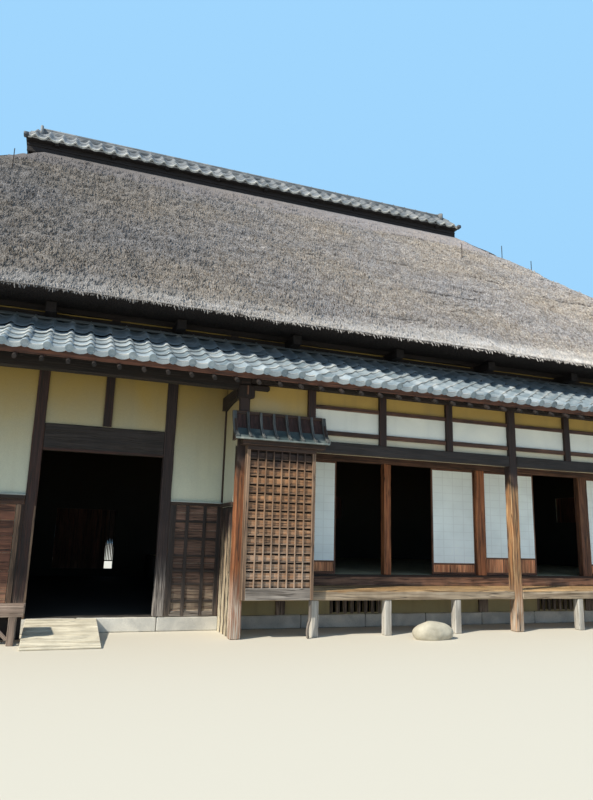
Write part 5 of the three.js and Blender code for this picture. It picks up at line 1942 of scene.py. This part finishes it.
@dataclass
class PlainSides:
    """Timbers, boards and windows of the end walls and the back wall."""

    end_window: Gap = (-0.78, 0.78, 1.95, 2.62)
    back_window: Gap = (-4.1, -2.4, 1.95, 2.62)
    back_door: Gap = (2.64, 4.17, 0.4, 1.95)
    stud: float = 0.063
    cap: float = 1.742

    def build(self) -> None:
        """Builds the three walls."""
        for side in (Side.LEFT, Side.RIGHT):
            self._wall(side, WALL_X, [-4.448, -2.727, -0.909, 0.909, 2.727, 4.448], [self.end_window])
        studs = [END_STUD - 2 * END_STUD * index / 10 for index in range(11)]
        self._wall(Side.BACK, -WALL_Y, studs, [self.back_window, self.back_door])
        self._shutters()
        self._screen()

    @staticmethod
    def _clear(start: float, end: float, low: float, high: float, gaps: list[Gap]) -> list[tuple[float, float]]:
        """The lengths of a board that no window or door takes up, each as start and end."""
        spans = [(start, end)]
        for left, right, bottom, top in gaps:
            if bottom < high and low < top:
                spans = [part for a, b in spans for part in ((a, min(b, left)), (max(a, right), b))]
        return [(a, b) for a, b in spans if b - a > 0.05]

    def _wall(self, side: Side, face: float, studs: list[float], gaps: list[Gap]) -> None:
        """Studs, dado boards and window frames of one wall, built at the front and turned."""
        parts = []
        for x in studs:
            levels = [BASE_TOP, WALL_TOP]
            for a, b, low, high in gaps:
                if a - 0.07 < x < b + 0.07:
                    levels = [BASE_TOP, low, high, WALL_TOP]
            for low, high in zip(levels[::2], levels[1::2]):
                parts.append(saw((x - self.stud, -face - 0.001, low), (x + self.stud, -face + 0.036, high),
                                 JAMB_TIMBER, Grain.ALONG_Z, 0.006))
        edges = sorted(studs)
        for start, end in ((a + self.stud, b - self.stud) for a, b in zip(edges, edges[1:])):
            for step in range(8):
                low, high = BASE_TOP + step * 0.2, min(BASE_TOP + (step + 1) * 0.2, self.cap)
                for left, right in self._clear(start, end, low, high, gaps):
                    parts.append(saw((left, -face + 0.006 + DICE.uniform(0, 0.003), low + 0.002),
                                     (right, -face + 0.03, high - 0.002), WALL_BOARD, ease=0.003, cuts=2,
                                     wobble=0.001))
            for left, right in self._clear(start, end, self.cap, DADO_TOP, gaps):
                parts.append(saw((left, -face - 0.001, self.cap + 0.002), (right, -face + 0.03, DADO_TOP),
                                 DARK_TIMBER))
        for a, b, low, high in gaps:
            for z in (low - 0.05, high):
                parts.append(saw((a - 0.07, -face - 0.002, z), (b + 0.07, -face + 0.035, z + 0.05), JAMB_TIMBER))
            for x in (a - 0.07, b):
                parts.append(saw((x, -face - 0.002, low), (x + 0.07, -face + 0.035, high), JAMB_TIMBER, Grain.ALONG_Z))
        join(f"{side.name.lower()}_wall_timbers", parts, side=side)

    def _shutters(self) -> None:
        """Boarded shutters in the windows, and the boarded door at the back."""
        for node in ("left_window", "right_window", "back_window", "back_door"):
            low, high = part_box(node)
            along = 0 if high.x - low.x > high.y - low.y else 1
            outer = max(low[1 - along], high[1 - along], key=abs)
            inner = min(low[1 - along], high[1 - along], key=abs)
            way = 1 if outer > 0 else -1
            deep = abs(outer - inner)
            parts = []

            def lay(a: float, b: float, c: float, d: float, near: float, far: float, grain: Grain,
                    finish: Finish) -> None:
                """Saws one board of the shutter from its place along the wall and its depth."""
                faces = sorted((outer - way * near, outer - way * far))
                first = [0.0, 0.0, c]
                second = [0.0, 0.0, d]
                first[along], second[along] = a, b
                first[1 - along], second[1 - along] = faces
                parts.append(saw(tuple(first), tuple(second), finish, grain, 0.003))

            start, end = low[along], high[along]
            across = Grain.ALONG_X if along == 0 else Grain.ALONG_Y
            for left, right in shares(start, end, 0.17):
                lay(left + 0.001, right - 0.001, low.z, high.z, 0.012, deep, Grain.ALONG_Z, WALL_BOARD)
            over = 0.0 if node == "back_door" else 0.03
            lay(start - over, end + over, low.z - over, high.z + over, deep - 0.012, deep - 0.001, across, DARK_TIMBER)
            for z in (low.z, (low.z + high.z) / 2 - 0.03, high.z - 0.06):
                lay(start, end, z, z + 0.06, 0.0, 0.014, across, RED_TIMBER)
            join(f"{node}_boards", parts, replaces=[node])

    def _screen(self) -> None:
        """Thin slats in the gap beside the back door, with light between their narrow feet."""
        start, end, bottom = -2.848, -2.638, 0.62
        near, far = -WALL_Y - 0.03, -WALL_Y - 0.012
        parts = [saw((start, near, bottom - 0.03), (end, far, bottom), BATTEN)]
        for x in rows(start, end, 0.04):
            slat = saw((x - 0.0215, near, bottom), (x + 0.0215, far, 1.953), GREY_BOARD, Grain.ALONG_Z, 0.0, 9)
            co = points(slat)
            co[:, 0] = x + (co[:, 0] - x) * (1 - 0.5 * np.clip((1.24 - co[:, 2]) / 0.6, 0, 1))
            place_points(slat, co)
            parts.append(slat)
        join("back_door_screen", parts)


@dataclass
class Floors:
    """Stone base, beaten floor of the hall, and the mats of the rooms."""

    def build(self) -> None:
        """Builds the base stones and the mats."""
        low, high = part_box("foundation")
        parts = []
        spans = [(Side.FRONT, -low.y, low.x, high.x), (Side.BACK, -low.y, low.x, high.x),
                 (Side.LEFT, -low.x, low.y, high.y), (Side.RIGHT, -low.x, low.y, high.y)]
        for side, face, start, end in spans:
            for left, right in shares(start, end, 1.05):
                stone = saw((left + 0.003, -face - 0.012, 0.0), (right - 0.003, -face + 0.03, BASE_TOP - 0.0015),
                            BASE_STONE, Grain.ALONG_X, 0.012, 5, 0.004)
                stone.data.transform(turned(side.value, "Z"))
                parts.append(stone)
        join("base_stones", parts)
        low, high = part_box("room_floor")
        mats = []
        for x in rows(low.x + 0.1, high.x - 0.1, 0.9):
            for y in rows(low.y + 0.05, high.y - 0.05, 1.8):
                mats.append(saw((x - 0.44, y - 0.87, 0.7805), (x + 0.44, y + 0.87, 0.789), MAT, Grain.ALONG_Y, 0.003))
        join("room_mats", mats)


def dress_nodes() -> None:
    """Gives each CAD node that still shows its finish."""
    finishes = {"foundation": HALL_FLOOR, "room_floor": DECK_BOARD, "room_wall_lower": OLIVE_PLASTER}
    for name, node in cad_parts.items():
        if not node.hide_render:
            node.data.materials.clear()
            dress(node, finishes.get(name, HALL_PLASTER))


def make_camera() -> None:
    """Places the camera as the photograph was taken."""
    lens = bpy.data.cameras.new("camera")
    lens.sensor_width = SENSOR
    lens.sensor_fit = "AUTO"
    lens.lens = SENSOR * FOCAL_LENGTH / PICTURE_HEIGHT
    lens.clip_end = 400.0
    camera = bpy.data.objects.new("camera", lens)
    bpy.context.scene.collection.objects.link(camera)
    right = Vector((0.93918628, -0.34240598, 0.02621594))
    down = Vector((0.0960194, 0.1885414, -0.97735992))
    ahead = Vector((0.3297111, 0.92044027, 0.20995311))
    turn = Matrix((right, -down, -ahead)).transposed().to_4x4()
    camera.matrix_world = Matrix.Translation((-4.130, -14.101, 1.32)) @ turn
    bpy.context.scene.camera = camera


def make_studio() -> None:
    """Lays the plain floor and sets the soft light."""
    pick_nothing()
    bpy.ops.mesh.primitive_plane_add(size=160, location=(0, 0, -0.001))
    floor = bpy.context.object
    floor.name = "studio_floor"
    paint = bpy.data.materials.new("studio floor")
    paint.use_nodes = True
    shader = paint.node_tree.nodes["Principled BSDF"]
    shader.inputs["Base Color"].default_value = (0.64, 0.60, 0.51, 1)
    shader.inputs["Roughness"].default_value = 0.9
    floor.data.materials.append(paint)
    world = bpy.data.worlds.new("studio")
    world.use_nodes = True
    g = Wiring(world.node_tree)
    seen = g.add("LightPath").outputs["Is Camera Ray"]
    backdrop = g.add("Background", {"Color": g.mix(seen, (0.34, 0.50, 0.69), (0.352, 0.672, 0.991))})
    g.add("OutputWorld", {"Surface": backdrop.outputs[0]})
    bpy.context.scene.world = world
    lamp = bpy.data.lights.new("sun", "SUN")
    lamp.energy = 5.0
    lamp.angle = math.radians(1.8)
    lamp.color = (1.0, 0.93, 0.80)
    sun = bpy.data.objects.new("sun", lamp)
    bpy.context.scene.collection.objects.link(sun)
    sun.rotation_mode = "QUATERNION"
    sun.rotation_quaternion = Vector((1.05, 0.53, -1.0)).to_track_quat("-Z", "Y")
    bpy.context.scene.view_settings.view_transform = "Standard"


def main() -> None:
    """Builds the whole house."""
    logging.basicConfig(level=logging.INFO, format="%(message)s")
    make_camera()
    make_studio()
    Thatch().build()
    Ridge().build()
    PentRoof().build()
    EntranceFront().build()
    ReturnWall().build()
    OuterFrame().build()
    Veranda().build()
    RoomFront().build()
    ShutterBox().build()
    Yard().build()
    PlainSides().build()
    Floors().build()
    dress_nodes()


if __name__ == "__main__":
    main()
